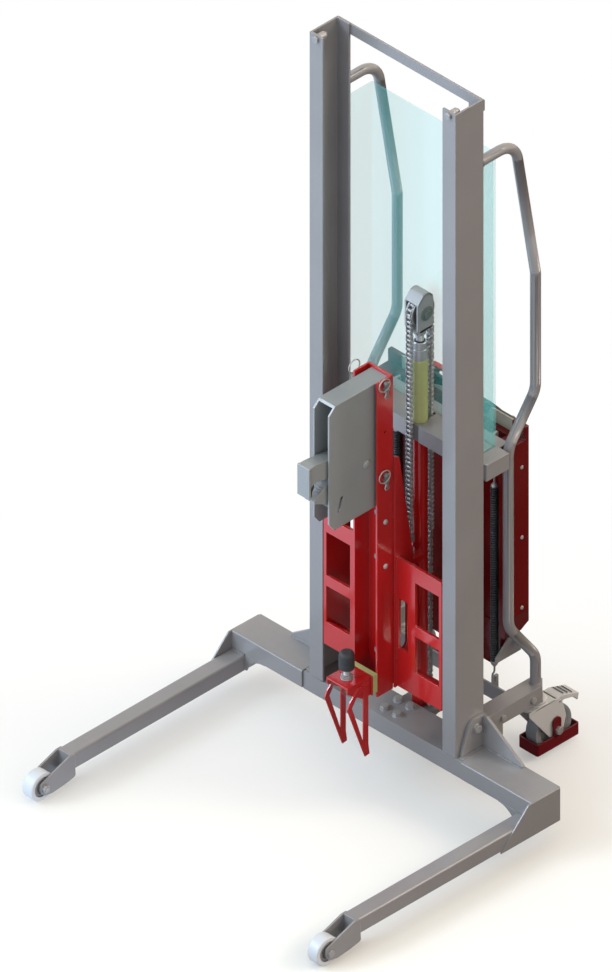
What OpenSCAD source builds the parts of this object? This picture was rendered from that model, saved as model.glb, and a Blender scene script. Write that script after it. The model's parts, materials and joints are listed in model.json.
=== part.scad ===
// Electric drum stacker: a two-post mast on a straddle base, with a
// hydraulic lift carriage, a rim gripper, and a rear power pack.
// Millimetres, +Z up, floor at Z = 0. The straddle legs point to -Y and the
// operator stands on +Y. Dimensions inside the modules are taken from the
// mast's front face (Y = 0); place() shifts the whole machine so that its
// origin is the middle of its footprint.

/* [Mast] */
// Height of the mast posts above the floor
mast_top = 1964; // [1900:1:2000]
// Outer width across the two mast posts
mast_w = 480; // [478:1:482]
// Depth of the mast channels, front to back
post_d = 92; // [92:1:92]
// Thickness of the channel web
post_web = 5; // [4:1:6]
// Thickness of the channel flanges
post_flange = 6; // [5:1:6]

/* [Straddle base] */
// Distance from the centre plane to the middle of each leg
leg_x = 469; // [468:1:470]
// Width of a leg tube
leg_w = 46; // [44:1:46]
// How far the roller axle stands in front of the mast
roller_y = 664; // [640:1:664]
// Diameter of the front load rollers
roller_d = 75; // [75:1:75]
// Width of the front load rollers
roller_w = 34; // [30:1:34]

/* [Rear casters] */
// Distance from the centre plane to each caster
caster_x = 222; // [220:1:224]
// Diameter of the caster wheels
caster_d = 120; // [120:1:120]
// Width of the caster wheels
caster_w = 38; // [32:1:38]

/* [Lift] */
// Outer diameter of the lift cylinder
cyl_d = 38; // [36:1:38]
// Diameter of the piston rod
rod_d = 20; // [16:1:20]
// Radius of the chain's centre line on the sheave
sheave_r = 34; // [34:1:34]
// Height of the sheave axis with the carriage down
sheave_z = 1231; // [1225:1:1235]

/* [Frame tubes] */
// Diameter of the bent handle tubes
handle_d = 26; // [24:1:26]
// Wall thickness of the handle tubes
handle_t = 2; // [1.5:0.5:3]

/* [Gripper] */
// Inside half width of the gripper housing
head_in = 22; // [22:1:22]
// Thickness of the gripper housing
head_t = 5; // [4:1:5]

/* [Hidden] */
$fn = 48;
oy = 150;                 // mast face to footprint centre
seam = 0.1;               // weld line between the housing's plates
post_out = mast_w / 2;
post_in = 197;
cy = 122.6;               // cylinder, yoke and sheave axis
leg_in = leg_x - leg_w / 2;
leg_out = leg_x + leg_w / 2;
leg_z0 = 42;
leg_z1 = 86.5;
beam_z0 = 84;
beam_z1 = 133;
king_y = 283;             // caster swivel axis
cast_y = 324;             // caster wheel axis
cast_z = caster_d / 2;
roller_zs = [300, 565];   // carriage roller heights
roller_cy = 46;
handle_x = 227.5;
// handle centre line, [Y, Z, bend radius]
handle_path = [[92, 1780, 0], [208, 1780, 62], [275.6, 1375, 90],
               [275.6, 1042, 60], [186, 918, 70], [186, 408, 75],
               [275.5, 285, 62], [275.5, 207, 0]];

// ---------- helpers ----------
module place() translate([0, oy, 0]) children();
module side(s) mirror([s < 0 ? 1 : 0, 0, 0]) children();
module box(a, b) translate(a) cube(b - a);
// extrude a [Y, Z] outline along X from x0 to x1
module yz(x0, x1) translate([x0, 0, 0])
  rotate([90, 0, 90]) linear_extrude(x1 - x0) children();
// extrude an [X, Z] outline along Y from y0 to y1
module xz(y0, y1) translate([0, y1, 0])
  rotate([90, 0, 0]) linear_extrude(y1 - y0) children();
module rod_x(x0, x1, y, z, r) translate([x0, y, z])
  rotate([0, 90, 0]) cylinder(r = r, h = x1 - x0);
module rod_y(x, y0, y1, z, r) translate([x, y0, z])
  rotate([-90, 0, 0]) cylinder(r = r, h = y1 - y0);
module rod_z(x, y, z0, z1, r) translate([x, y, z0])
  cylinder(r = r, h = z1 - z0);
// hex bolt: head on top of Z = 0, shank below
module bolt(af, hh, sd, sl, wd = 0) {
  if (wd > 0) cylinder(d = wd, h = 2);
  translate([0, 0, wd > 0 ? 2 : 0])
    cylinder(d = af * 1.1547, h = hh, $fn = 6);
  translate([0, 0, -sl]) cylinder(d = sd, h = sl + 0.5);
}

// straight-and-arc sweep of a ring section along a [Y, Z, radius] path
function dir2(a, b) = let (v = [b[0] - a[0], b[1] - a[1]]) v / norm(v);
function turn(p, i) = let (u = dir2(p[i - 1], p[i]), w = dir2(p[i], p[i + 1]))
  atan2(u[0] * w[1] - u[1] * w[0], u[0] * w[0] + u[1] * w[1]);
function cut(p, i) = (i == 0 || i == len(p) - 1) ? 0
  : p[i][2] * tan(abs(turn(p, i)) / 2);
// The bends are 0.05 mm fatter than the straights and lap over their ends.
module bent_bar(p, x, rr, ext = 0) for (i = [0 : len(p) - 2]) {
  d = dir2(p[i], p[i + 1]);
  a = [p[i][0], p[i][1]] + d * (cut(p, i) - (i == 0 ? ext : 0.6));
  b = [p[i + 1][0], p[i + 1][1]] - d * (cut(p, i + 1)
    - (i == len(p) - 2 ? ext : 0.6));
  translate([x, a[0], a[1]]) rotate([atan2(-d[0], d[1]), 0, 0])
    cylinder(r = rr, h = norm(b - a));
  if (i > 0) {
    t = turn(p, i);
    r = p[i][2];
    u = dir2(p[i - 1], p[i]);
    s = t > 0 ? 1 : -1;
    e = [p[i][0], p[i][1]] - u * cut(p, i);      // arc start
    n = [-u[1], u[0]] * s;                        // towards the arc centre
    c = e + n * r;
    st = atan2(e[1] - c[1], e[0] - c[0]);         // start angle about centre
    // the full ring lies in XY; stand it up in the YZ plane
    translate([x, c[0], c[1]]) rotate([90, 0, 90])
      rotate([0, 0, s > 0 ? st : st - abs(t)])
        intersection() {
          rotate_extrude($fn = 96) translate([r, 0]) circle(r = rr + 0.05);
          // wedge that keeps only this bend
          translate([0, 0, -2 * rr]) linear_extrude(4 * rr)
            polygon([[0, 0], for (k = [0 : 4]) [cos(abs(t) * k / 4),
              sin(abs(t) * k / 4)] * 2 * (r + rr)]);
        }
  }
}
module bent_tube(p, x, ro, ri) difference() {
  bent_bar(p, x, ro);
  bent_bar(p, x, ri, 1);
}

// ---------- chassis ----------
module base_crossbeam() color([0.44, 0.43, 0.42]) {
  difference() {
    box([-261, 0, beam_z0], [261, post_d, beam_z1]);
    box([-256, 5, beam_z0 + 5], [256, post_d - 5, beam_z1 - 5]);
    for (x = [-20, 20], y = [28, 72]) rod_z(x, y, beam_z1 - 8, beam_z1 + 1, 6.3);
  }
  // cylinder foot bracket with two webs
  difference() {
    box([-48, post_d, 100], [48, 172, 112]);
    rod_z(0, 156.6, 99, 113, 4.6);
  }
  for (x = [-44, 38]) yz(x, x + 6)
    polygon([[post_d, 101], [160, 101], [post_d, beam_z0]]);
  // spigot that centres the barrel
  rod_z(0, cy, 111, 118, 10);
}

module outrigger(s) side(s) color([0.44, 0.43, 0.42]) {
  // sleeve box over the leg
  difference() {
    box([261, -5, leg_z1], [492, post_d, 135]);
    box([262, 0, leg_z1 + 4], [488, post_d - 5, 130]);
  }
  // outer side plate
  yz(492, 496) polygon([[89, 41], [89, 133], [-13, 135], [-104, 45], [-106, 41]]);
  // front plate's lower fillet against the leg
  difference() {
    box([384, -5, 44], [leg_in + 0.5, 0, leg_z1 + 1]);
    rod_y(384, -6, 1, 24.5, 62);
  }
  // leg tube
  difference() {
    box([leg_in, -574, leg_z0], [leg_out, 89, leg_z1]);
    box([leg_in + 4, -575, leg_z0 + 4], [leg_out - 4, 85, leg_z1 - 4]);
  }
  // roller fork: two cheeks and a back plate
  for (x = [leg_in, leg_out - 5]) difference() {
    yz(x, x + 5) {
      polygon([[-566, leg_z1], [-563, 26], [-568, 21.5], [-600, 15.5],
               [-640, 12], [-664, 16], [-675, 26], [-678, 38], [-677, 51],
               [-672, 55], [-583, leg_z1]]);
      translate([-roller_y, roller_d / 2]) circle(r = 14);
    }
    rod_x(x - 1, x + 6, -roller_y, roller_d / 2, 6.2);
  }
  box([leg_in + 1, -579, 30], [leg_out - 1, -574, leg_z1]);
  // gusset against the mast
  xz(80, 88) polygon([[249.5, 134], [249.5, 221], [261, 221], [381, 140], [381, 134]]);
  // tab plate on the mast web
  difference() {
    yz(post_out, post_out + 10) polygon([[12, 135], [15, 150], [33, 205],
      [37, 213], [45, 220], [55, 222], [90, 222], [90, 135]]);
    rod_x(post_out - 1, post_out + 11, 59, 196, 6.3);
  }
  box([post_out + 5, 8, beam_z1], [262, 90, 135.5]);
}

module mast_post(s) side(s) color([0.44, 0.43, 0.42]) difference() {
  box([post_in, 0, beam_z1], [post_out, post_d, mast_top]);
  box([post_in - 1, post_flange, beam_z1 - 1],
      [post_out - post_web, post_d - post_flange, mast_top + 1]);
  rod_y(218, -1, post_flange + 1, mast_top - 11, 6.3);      // stop bolt
  rod_x(post_out - 10, post_out + 1, 59, 196, 6.3);          // tab bolt
}

module top_bar() color([0.44, 0.43, 0.42])
  box([-post_out, post_d, mast_top - 33], [post_out, post_d + 5, mast_top - 3]);

module hex_bolts() color([0.62, 0.62, 0.62]) {
  for (x = [-20, 20], y = [28, 72])
    translate([x, y, beam_z1]) bolt(19, 8, 12, 20, 26);
  for (s = [-1, 1]) side(s) {
    translate([post_out + 10, 59, 196]) rotate([0, 90, 0]) bolt(19, 8, 12, 24, 24);
    // carriage stop: bolt with a bush inside the channel
    translate([218, 0, mast_top - 11]) rotate([90, 0, 0]) bolt(17, 7.5, 12, 30, 0);
    rod_y(218, post_flange, post_flange + 20, mast_top - 11, 10);
    // arm bolts
    for (y = [146, 245]) translate([250, y, 182]) rotate([0, 90, 0])
      bolt(15, 6, 10, 12, 0);
    // roller axle bolt and nut
    translate([leg_out, -roller_y, roller_d / 2]) rotate([0, 90, 0])
      bolt(17, 7, 12, leg_w + 1, 0);
    translate([leg_in, -roller_y, roller_d / 2]) rotate([0, -90, 0])
      cylinder(d = 18 * 1.1547, h = 8, $fn = 6);
  }
}

module rear_arm(s) side(s) color([0.44, 0.43, 0.42]) difference() {
  union() {
    intersection() {
      difference() {
        yz(205, 250) difference() {
          polygon([[post_d, 207], [316, 207], [316, 164], [174, 164],
                   [146, 164], [146, 134], [post_d, 134]]);
          translate([174, 136]) circle(r = 28);
        }
        // hollow underside
        yz(210, 245) polygon([[post_d + 5, 202], [320, 202], [320, 100], [post_d + 5, 100]]);
      }
      // rear end chamfered in plan
      linear_extrude(400) polygon([[204, 0], [251, 0], [251, 275],
        [228, 298], [204, 298]]);
    }
    // caster mounting plate
    intersection() {
      box([206, 256, 160], [249, 298, 166]);
      linear_extrude(400) polygon([[204, 0], [251, 0], [251, 277],
        [229, 299], [204, 299]]);
    }
    yz(206, 249) polygon([[256, 160], [256, 175], [260, 175], [260, 160]]);
  }
  rod_z(caster_x, king_y, 150, 170, 8);
  for (y = [146, 245]) rod_x(240, 252, y, 182, 5.3);
}

module rear_cross_plate() color([0.44, 0.43, 0.42]) {
  box([-205, 196.5, 166], [205, 201.5, 207]);
  box([-205, 196.5, 166], [205, 215, 171]);
  for (s = [-1, 1]) side(s) difference() {
    box([156.5, 201, 170], [163.5, 218, 226]);
    rod_x(150, 170, 208, 216, 5);
  }
}

module frame_tray() color([0.46, 0.46, 0.45]) difference() {
  union() {
    box([-245, 97, 916], [245, 200, 920]);
    box([-245, 97, 875], [245, 101, 920]);
    box([-23, 99.4, 875], [23, 103, 920]);     // strip set back behind the anchor
    for (s = [-1, 1]) side(s) {
      box([241, 97, 875], [245, 200, 920]);
      box([205, post_d, 880], [238, 98, 915]);
      box([156.5, 198, 890], [163.5, 218, 918]);
    }
  }
  // clearance for the anchor, the cylinder and the rear chain
  box([-20, 90, 860], [20, 99.4, 930]);
  rod_z(0, cy, 860, 930, 20.5);
  box([-12, cy, 860], [12, 165, 930]);
  for (s = [-1, 1]) side(s) {
    box([213, 172, 870], [246, 210, 930]);     // handle tube
    rod_x(150, 170, 208, 899, 5);
  }
}

module guard_panel() color([0.65, 0.93, 0.95, 0.4]) {
  box([-203.5, 165, 920], [203.5, 169, 1758]);
  for (s = [-1, 1]) side(s) box([199.5, post_d, 920], [203.5, 169, 1758]);
}

module handle(s) side(s) color([0.46, 0.46, 0.45])
  bent_tube(handle_path, handle_x, handle_d / 2, handle_d / 2 - handle_t);

// ---------- lift cylinder, chain ----------
module cylinder_barrel() color([0.55, 0.03, 0.03]) {
  difference() {
    rod_z(0, cy, 112, 890, cyl_d / 2);
    rod_z(0, cy, 118, 891, 14);
    rod_z(0, cy, 111, 119, 10.1);
  }
  difference() {
    rod_x(18, 32, cy, 130, 8);
    rod_z(0, cy, 112, 200, 16);
    rod_x(10, 33, cy, 130, 3.2);
  }
}

module cylinder_sleeve() {
  color([0.55, 0.55, 0.2]) difference() {
    union() {
      rod_z(0, cy, 890, 1094, cyl_d / 2);
      rod_z(0, cy, 1094, 1124, cyl_d / 2 - 1);
      rod_z(0, cy, 1124, 1144, 16);
    }
    rod_z(0, cy, 889, 1090, 14);
    rod_z(0, cy, 1080, 1150, rod_d / 2 + 0.05);
  }
}

module hydraulic_pipe() color([0.1, 0.1, 0.1]) {
  rod_x(32, 44, cy, 130, 7);
  rod_x(44, 50, cy, 130, 5);
  translate([50, cy, 130]) sphere(r = 5);
  rod_y(50, cy, 240, 130, 5);
  translate([50, 240, 130]) sphere(r = 5);
  rod_z(50, 240, 130, 292, 5);
  rod_z(50, 240, 280, 293, 8);
}

module chain_fixed_strand() color([0.5, 0.5, 0.52]) {
  box([-4, 151.6, 150], [4, 161.6, 1190]);
  box([-9, 149, 140], [9, 164, 156]);
  rod_z(0, 156.6, 96, 141, 4.5);
  translate([0, 156.6, 112]) cylinder(d = 16, h = 6, $fn = 6);
  translate([0, 156.6, 93]) cylinder(d = 16, h = 7, $fn = 6);
}

module chain_rear_strand() color([0.5, 0.5, 0.52]) {
  for (s = [-1, 1]) side(s) box([4.4, 150.6, 590], [8, 162.6, sheave_z + 0.1]);
  // wrap over the sheave
  translate([0, cy, sheave_z]) rotate([0, 90, 0]) translate([0, 0, -8])
    difference() {
      cylinder(r = sheave_r + 6, h = 16, $fn = 96);
      translate([0, 0, -1]) cylinder(r = sheave_r - 6, h = 18, $fn = 96);
      translate([0, -60, -1]) cube([60, 120, 18]);
    }
}

module piston_rod() color([0.72, 0.72, 0.74]) {
  rod_z(0, cy, 161, 1165, rod_d / 2);
  difference() {
    rod_z(0, cy, 140, 166, 13.95);
    for (z = [145, 155]) difference() {
      rod_z(0, cy, z, z + 4, 15);
      rod_z(0, cy, z - 1, z + 5, 12);
    }
  }
}

module sheave_yoke() color([0.5, 0.5, 0.5]) {
  for (x = [-22, 17]) yz(x, x + 5) polygon([[94, 1190], [94, 1264],
    [112, 1284], [124, 1287.5], [136, 1283], [144, 1274], [146, 1262],
    [146, 1196], [140, 1183], [100, 1183]]);
  // bent cover over the sheave
  yz(-22, 22) polygon([[94, 1264], [112, 1284], [124, 1287.5], [136, 1283],
    [144, 1274], [141, 1271.5], [134.5, 1279.5], [123.8, 1283.8],
    [114, 1280.5], [97.5, 1263]]);
  // base block on the rod end
  box([-22, 100, 1183], [22, 145, 1190]);
  rod_z(0, cy, 1165, 1185, 15);
  rod_x(-27, 30, cy, sheave_z, 9);
  rod_x(22, 26, cy, sheave_z, 14);
  // keeper plate beside the pin head
  box([22, cy - 4, 1246], [25, cy + 4, 1268]);
}

module sheave() color([0.42, 0.42, 0.43])
  translate([-12, cy, sheave_z]) rotate([0, 90, 0]) difference() {
    union() {
      cylinder(r = sheave_r - 6.3, h = 24);
      cylinder(r = sheave_r + 3.5, h = 3.4);
      translate([0, 0, 20.6]) cylinder(r = sheave_r + 3.5, h = 3.4);
    }
    translate([0, 0, -1]) cylinder(r = 9.05, h = 26);
    for (a = [0 : 60 : 300]) rotate(a) translate([18, 0, -1]) cylinder(r = 4, h = 26);
  }

// ---------- power pack ----------
hood_plan = [[-226, 202], [-182, 202], [-182, 228], [182, 228], [182, 202],
             [226, 202], [226, 255], [151, 330], [-151, 330], [-226, 255]];
hood_plan_in = [[-223, 205], [-185, 205], [-185, 231], [185, 231], [185, 205],
                [223, 205], [223, 254], [149.8, 327], [-149.8, 327], [-223, 254]];
module hood_profile() polygon([[190, 349], [190, 912], [244, 912],
  [244, 947], [256, 947], [330, 862], [330, 420], [258, 349]]);
module hood_profile_in() polygon([[190, 340], [190, 910], [246, 910],
  [246, 945], [255, 945], [327.8, 861], [327.8, 421], [256.5, 351], [256.5, 340]]);
module hood_front(t) polygon([[-230 + t, 960], [-230 + t, 500], [-226 + t, 424],
  [-213.5 + t, 410], [-197 + t, 349], [-197 + t, 340], [197 - t, 340],
  [197 - t, 349], [213.5 - t, 410], [226 - t, 424], [230 - t, 500],
  [230 - t, 960]]);

module hood_shell() color([0.32, 0.02, 0.03]) {
  // apron that hides the underside behind the springs
  xz(224.6, 227.7) polygon([[-190, 362], [-190, 352], [-138, 240], [138, 240],
    [190, 352], [190, 362]]);
  box([-180, 227, 353], [180, 228.5, 361]);
  difference() {
  intersection() {
    linear_extrude(1000) polygon(hood_plan);
    yz(-230, 230) hood_profile();
    xz(180, 340) hood_front(0);
  }
  intersection() {
    linear_extrude(1000) polygon(hood_plan_in);
    yz(-231, 231) hood_profile_in();
    xz(179, 341) hood_front(3);
  }
  // console opening: top and rear slope between the side lobes, and the
  // strip of the rear wall below the slope
  yz(-183, 183) polygon([[246, 960], [340, 960], [340, 845.3], [326.8, 860.5],
    [254.4, 943.7], [246, 943.7]]);
  box([-154.2, 326.9, 812], [154.2, 340, 960]);
  box([-183, 243.5, 911.5], [183, 247, 960]);
  }
}

module hood_pan() color([0.35, 0.35, 0.35]) {
  difference() {
    box([-197, 228, 293], [197, 254, 348.5]);
    box([-194, 231, 296], [194, 260, 349]);
    rod_z(50, 240, 290, 300, 8.2);
  }
  box([-197, 253, 293], [197, 258, 296]);
  for (s = [-1, 1]) side(s) {
    yz(193, 197) polygon([[176, 293], [176, 306], [224, 348.5], [254, 348.5],
                          [258, 340], [258, 293]]);
    rod_x(197, 214, 238, 330, 7);
  }
}

module console_back() color([0.62, 0.6, 0.56]) {
  // upright plate with an arched dip in the middle
  xz(246, 250) polygon([[-182.8, 862], [-182.8, 947], [-112, 947], [-92, 912],
    [-60, 922], [-30, 929], [0, 931], [30, 929], [60, 922], [92, 912],
    [112, 947], [182.8, 947], [182.8, 862]]);
}

module console_at(x, d) translate([x, 256 + d * 0.6567, 947 - d * 0.7543])
  rotate([-48.96, 0, 0]) children();
module control_panel() color([0.07, 0.07, 0.08]) difference() {
  union() {
    intersection() {
      yz(-182.8, 182.8) polygon([[250.1, 945], [252, 947], [256, 947], [330, 862],
        [330, 812.2], [327, 812.2], [327, 860.8], [254.6, 944], [250.1, 944]]);
      linear_extrude(1000) polygon(hood_plan);
    }
    // battery gauge housing on the slope
    console_at(70, 42) translate([-26, -16, -1]) cube([52, 32, 5]);
  }
  console_at(-120, 55) translate([0, 0, -10]) cylinder(r = 8.05, h = 20);
  console_at(-60, 50) translate([0, 0, -10]) cylinder(r = 6.05, h = 20);
  console_at(0, 35) translate([0, 0, -10]) cylinder(r = 9.05, h = 20);
  console_at(0, 78) translate([0, 0, -10]) cylinder(r = 9.05, h = 20);
  console_at(70, 42) translate([-21, -11, 3]) cube([42, 22, 5]);
}
module stop_button() color([0.75, 0.02, 0.02]) console_at(-120, 55) {
  cylinder(r = 8, h = 18);
  translate([0, 0, -12]) cylinder(r = 8, h = 12);
  translate([0, 0, 12]) cylinder(r = 19, h = 9);
  translate([0, 0, 21]) cylinder(r1 = 19, r2 = 14, h = 4);
}
module key_switch() color([0.7, 0.7, 0.72]) console_at(-60, 50) {
  translate([0, 0, -14]) cylinder(r = 6, h = 18);
  translate([0, 0, 0.4]) cylinder(r = 10, h = 3.6);
  translate([-1.2, -4, 3]) cube([2.4, 8, 15]);
  translate([-1.2, -11, 16]) cube([2.4, 22, 18]);
}
module push_button(x, d, c) color(c) console_at(x, d) {
  translate([0, 0, -10]) cylinder(r = 9, h = 14);
  translate([0, 0, 4]) cylinder(r1 = 9, r2 = 8, h = 1.5);
}

module battery() color([0.13, 0.13, 0.14]) {
  box([-140, 234, 430], [10, 320, 620]);
  for (x = [-122, -8]) rod_z(x, 277, 620, 634, 8);
  // carrier shelf under the battery
  box([-146, 232, 424], [16, 322, 430]);
  box([-146, 232, 296.2], [-140, 250, 424]);
  box([10, 232, 296.2], [16, 250, 424]);
}
module pump_unit() color([0.3, 0.3, 0.32]) {
  rod_z(90, 277, 560, 700, 40);
  rod_z(90, 277, 700, 706, 30);
  box([50, 245, 500], [130, 309, 560]);
  rod_z(90, 277, 470, 500, 24);
  rod_z(60, 262, 706, 730, 12);
  box([60, 232, 296.2], [70, 246, 520]);
}
module oil_tank() color([0.75, 0.74, 0.7]) {
  difference() {
    box([-140, 236, 660], [10, 316, 800]);
    box([-136, 240, 664], [6, 312, 796]);
    rod_z(-100, 276, 790, 810, 12);
  }
  rod_z(-100, 276, 798, 812, 15);
  box([-146, 233, 654], [16, 318, 660]);
  for (x = [-146, 10.2]) box([x, 233, 620.5], [x + 5.8, 250, 654]);
}

module tension_springs() color([0.05, 0.05, 0.06])
  for (s = [-1, 1]) translate([s * 160, 208, 0]) {
    // close-wound coil drawn as stacked turns
    rotate_extrude() {
      translate([4, 264]) square([4.5, 504]);
      for (i = [0 : 33]) translate([8.2, 268.5 + i * 15]) circle(r = 1.8, $fn = 12);
    }
    rod_z(0, 0, 230, 266, 2.5);
    rod_z(0, 0, 766, 886, 2.5);
    for (z = [264, 766]) rod_z(0, 0, z, z + 2, 8);
    rod_x(-7, 7, 0, 216, 4);
    rod_x(-7, 7, 0, 899, 4);
    for (x = [-7, 4]) {
      box([x, -3, 214], [x + 3, 3, 230]);
      box([x, -3, 885], [x + 3, 3, 901]);
    }
    box([-7, -3, 227.5], [7, 3, 232]);
    box([-7, -3, 883], [7, 3, 888]);
  }

// ---------- carriage ----------
module carriage_frame() color([0.6, 0.03, 0.04]) {
  difference() {
    box([-194, 0, 245], [194, 8, 610]);
    for (s = [-1, 1]) side(s) {
      box([107, -1, 443], [185, 9, 566]);
      box([107, -1, 310], [185, 9, 413]);
      box([52.5, -1, 355], [82.5, 9, 496]);
    }
  }
  for (s = [-1, 1]) side(s) {
    difference() {
      yz(40, 46) polygon([[-5, 897], [10, 890], [54, 600], [54, 245], [-5, 240]]);
      yz(39, 47) {
        translate([2, 356]) square([32, 108]);
        translate([18, 356]) circle(r = 16);
        translate([18, 464]) circle(r = 16);
      }
    }
    box([185, 0, 245], [194, 80, 610]);
    for (z = roller_zs) {
      rod_x(193, 233, roller_cy, z, 10);
      rod_x(193, 199, roller_cy, z, 20);
    }
  }
  // cross plates behind the front plate
  difference() {
    box([-186, 7, 572], [186, 40, 580]);
    box([-41, 8, 560], [41, 41, 590]);
  }
  box([-186, 7, 280], [186, 40, 288]);
  difference() {
    box([-41, 7, 556], [41, 96, 572]);
    rod_z(0, cy - sheave_r, 550, 580, 5.3);
  }
}

module chain_anchor() color([0.55, 0.55, 0.56]) {
  ay = cy - sheave_r;
  rod_z(0, ay, 528, 590, 5);
  for (z = [540, 549]) translate([0, ay, z]) cylinder(d = 17 * 1.1547, h = z == 549 ? 7 : 6, $fn = 6);
  difference() {
    box([-9, ay - 7, 588], [9, ay + 7, 612]);
    box([-5, ay - 8, 598], [5, ay + 8, 613]);
  }
  rod_x(-11, -4.9, ay, 605, 3);
  rod_x(4.9, 11, ay, 605, 3);
}

module chain_front_strand() color([0.5, 0.5, 0.52]) {
  ay = cy - sheave_r;
  difference() {
    box([-8, ay - 6, 612.3], [8, ay + 6, sheave_z - 0.3]);
  }
  box([-4.6, ay - 5, 600], [4.6, ay + 5, 613]);
}

module attachment_column() color([0.62, 0.03, 0.04]) difference() {
  box([-39.5, -57, 235], [39.5, -5, 1128]);
  box([-34.5, -58, 234], [34.5, -10, 1129]);
  for (z = [1103, 843, 978]) rod_x(-41, 41, -31, z, z == 978 ? 4 : 6.2);
  for (z = [330, 596, 722, 820]) rod_y(0, -12, -4, z, 5.3);
}

module locking_pins() color([0.68, 0.68, 0.7]) {
  for (z = [1103, 843]) {
    rod_x(-47, 50, -31, z, 6);
    rod_x(-45, -40, -31, z, 9);
    // retaining clip ring through the free end
    translate([46, -31, z]) rotate([0, 90, 0]) rotate_extrude()
      translate([13, 0]) circle(r = 1.4, $fn = 16);
    translate([46, -31, z - 18]) cylinder(r = 1.4, h = 36);
    // pull ring on the headed end
    translate([-46, -31, z + 16]) rotate([0, 90, 0]) rotate_extrude()
      translate([11, 0]) circle(r = 1.4, $fn = 16);
  }
  // column fixing bolts
  for (z = [330, 596, 722, 820]) translate([0, -10, z]) rotate([90, 0, 0])
    bolt(17, 7, 10, 5, 20);
  // flange bolts on the near face of the column
  for (s = [-1, 1]) side(s) for (z = [596, 722])
    translate([39.5, -30, z]) rotate([0, 90, 0]) cylinder(r1 = 7, r2 = 5, h = 4);
  // jaw pivot with domed heads
  rod_x(-head_in - head_t, head_in + head_t, -80, 905, 8);
  for (s = [-1, 1]) side(s) translate([head_in + head_t, -80, 905])
    rotate([0, 90, 0]) cylinder(r1 = 11, r2 = 8, h = 4);
}

module slot_cut(x0, x1) {
  rod_x(x0, x1, -161, 850, 4);
  rod_x(x0, x1, -171, 817, 4);
  translate([x0, -166, 833.5]) rotate([-16.86, 0, 0])
    translate([0, -4, -17.24]) cube([x1 - x0, 8, 34.48]);
}
module head_housing() color([0.5, 0.5, 0.5]) {
  // two cheeks
  for (s = [-1, 1]) side(s) difference() {
    yz(head_in, head_in + head_t) polygon([[-10, 770], [-10, 1120],
      [-182, 1120], [-202, 1100], [-202, 792], [-186, 770]]);
    for (z = [1103, 843]) rod_x(10, 40, -31, z, 6.1);
    rod_x(10, 40, -31, 978, 4);
    rod_x(10, 40, -80, 905, 8);
    slot_cut(head_in - 1, head_in + head_t + 1);
  }
  // back plate and top plate, welded in between the cheeks
  difference() {
    box([-head_in + seam, -15, 770], [head_in - seam, -10, 1120]);
    rod_y(0, -20, -5, 820, 12);
  }
  yz(-head_in + seam, head_in - seam) polygon([[-15 - seam, 1115],
    [-15 - seam, 1120], [-182, 1120], [-187, 1115]]);
}

module upper_jaw() color([0.48, 0.48, 0.48]) difference() {
  union() {
    yz(-18, 18) polygon([[-256, 975], [-256, 915], [-246, 921], [-236, 924],
      [-224, 923], [-200, 916], [-150, 905], [-100, 886], [-80, 885],
      [-62, 900], [-64, 918], [-100, 944], [-150, 962], [-202, 971], [-240, 975]]);
    yz(-20, 20) polygon([[-261, 975], [-261, 888], [-255, 888], [-255, 975]]);
  }
  rod_x(-20, 20, -80, 905, 8.05);
  yz(-12, 12) polygon([[-250, 968], [-250, 926], [-224, 932], [-200, 926],
    [-150, 916], [-112, 900], [-108, 934], [-150, 953], [-202, 962]]);
}
module jaw_pad() color([0.08, 0.08, 0.09])
  yz(-16, 16) polygon([[-255, 888], [-255, 914.6], [-246, 920.8], [-240, 922.6],
    [-240, 912], [-246, 904], [-249, 888]]);

module lower_jaw() color([0.45, 0.45, 0.45]) {
  yz(-18, 18) polygon([[-192, 908], [-234, 880], [-243, 872], [-238, 864],
    [-206, 850], [-184, 822], [-166, 812], [-150, 826], [-150, 856],
    [-168, 892], [-180, 906]]);
  rod_x(-31, 31, -161, 850, 3.95);
}

module rest_bracket() color([0.6, 0.03, 0.04]) {
  box([-40, -76, 250], [40, -71, 303]);
  difference() {
    box([-35, -150, 298], [35, -75, 303]);
    rod_z(0, -118, 290, 310, 8.2);
  }
  for (s = [-1, 1]) side(s) {
    yz(31, 35) polygon([[-75, 303], [-75, 250], [-100, 250], [-150, 286], [-150, 303]]);
    // bent flat-bar guard
    yz(35, 39) difference() {
      polygon([[-85, 290], [-85, 118], [-81, 88], [-96, 86], [-154, 246],
               [-146, 262], [-118, 290]]);
      polygon([[-101, 274], [-101, 128], [-139, 244], [-125, 266], [-113, 274]]);
    }
  }
}
module rest_spacer() color([0.62, 0.62, 0.3]) difference() {
  box([-40, -71, 252], [40, -57, 303]);
  box([-30, -72, 262], [30, -56, 292]);
}
module rest_bumper() color([0.04, 0.04, 0.05]) {
  rod_z(0, -118, 284, 332, 8);
  translate([0, -118, 303]) cylinder(d = 28 * 1.1547, h = 8, $fn = 6);
  rod_z(0, -118, 330, 371, 19);
  translate([0, -118, 371]) cylinder(r1 = 19, r2 = 14, h = 6);
  translate([0, -118, 288]) cylinder(d = 28 * 1.1547, h = 10, $fn = 6);
}

module carriage_roller(s, z) side(s) color([0.6, 0.6, 0.6])
  translate([201, roller_cy, z]) rotate([0, 90, 0]) difference() {
    cylinder(r = 39.5, h = 30);
    translate([0, 0, -1]) cylinder(r = 10.05, h = 32);
    translate([0, 0, 27]) difference() {
      cylinder(r = 31, h = 4);
      translate([0, 0, -1]) cylinder(r = 16, h = 6);
    }
  }

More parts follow.
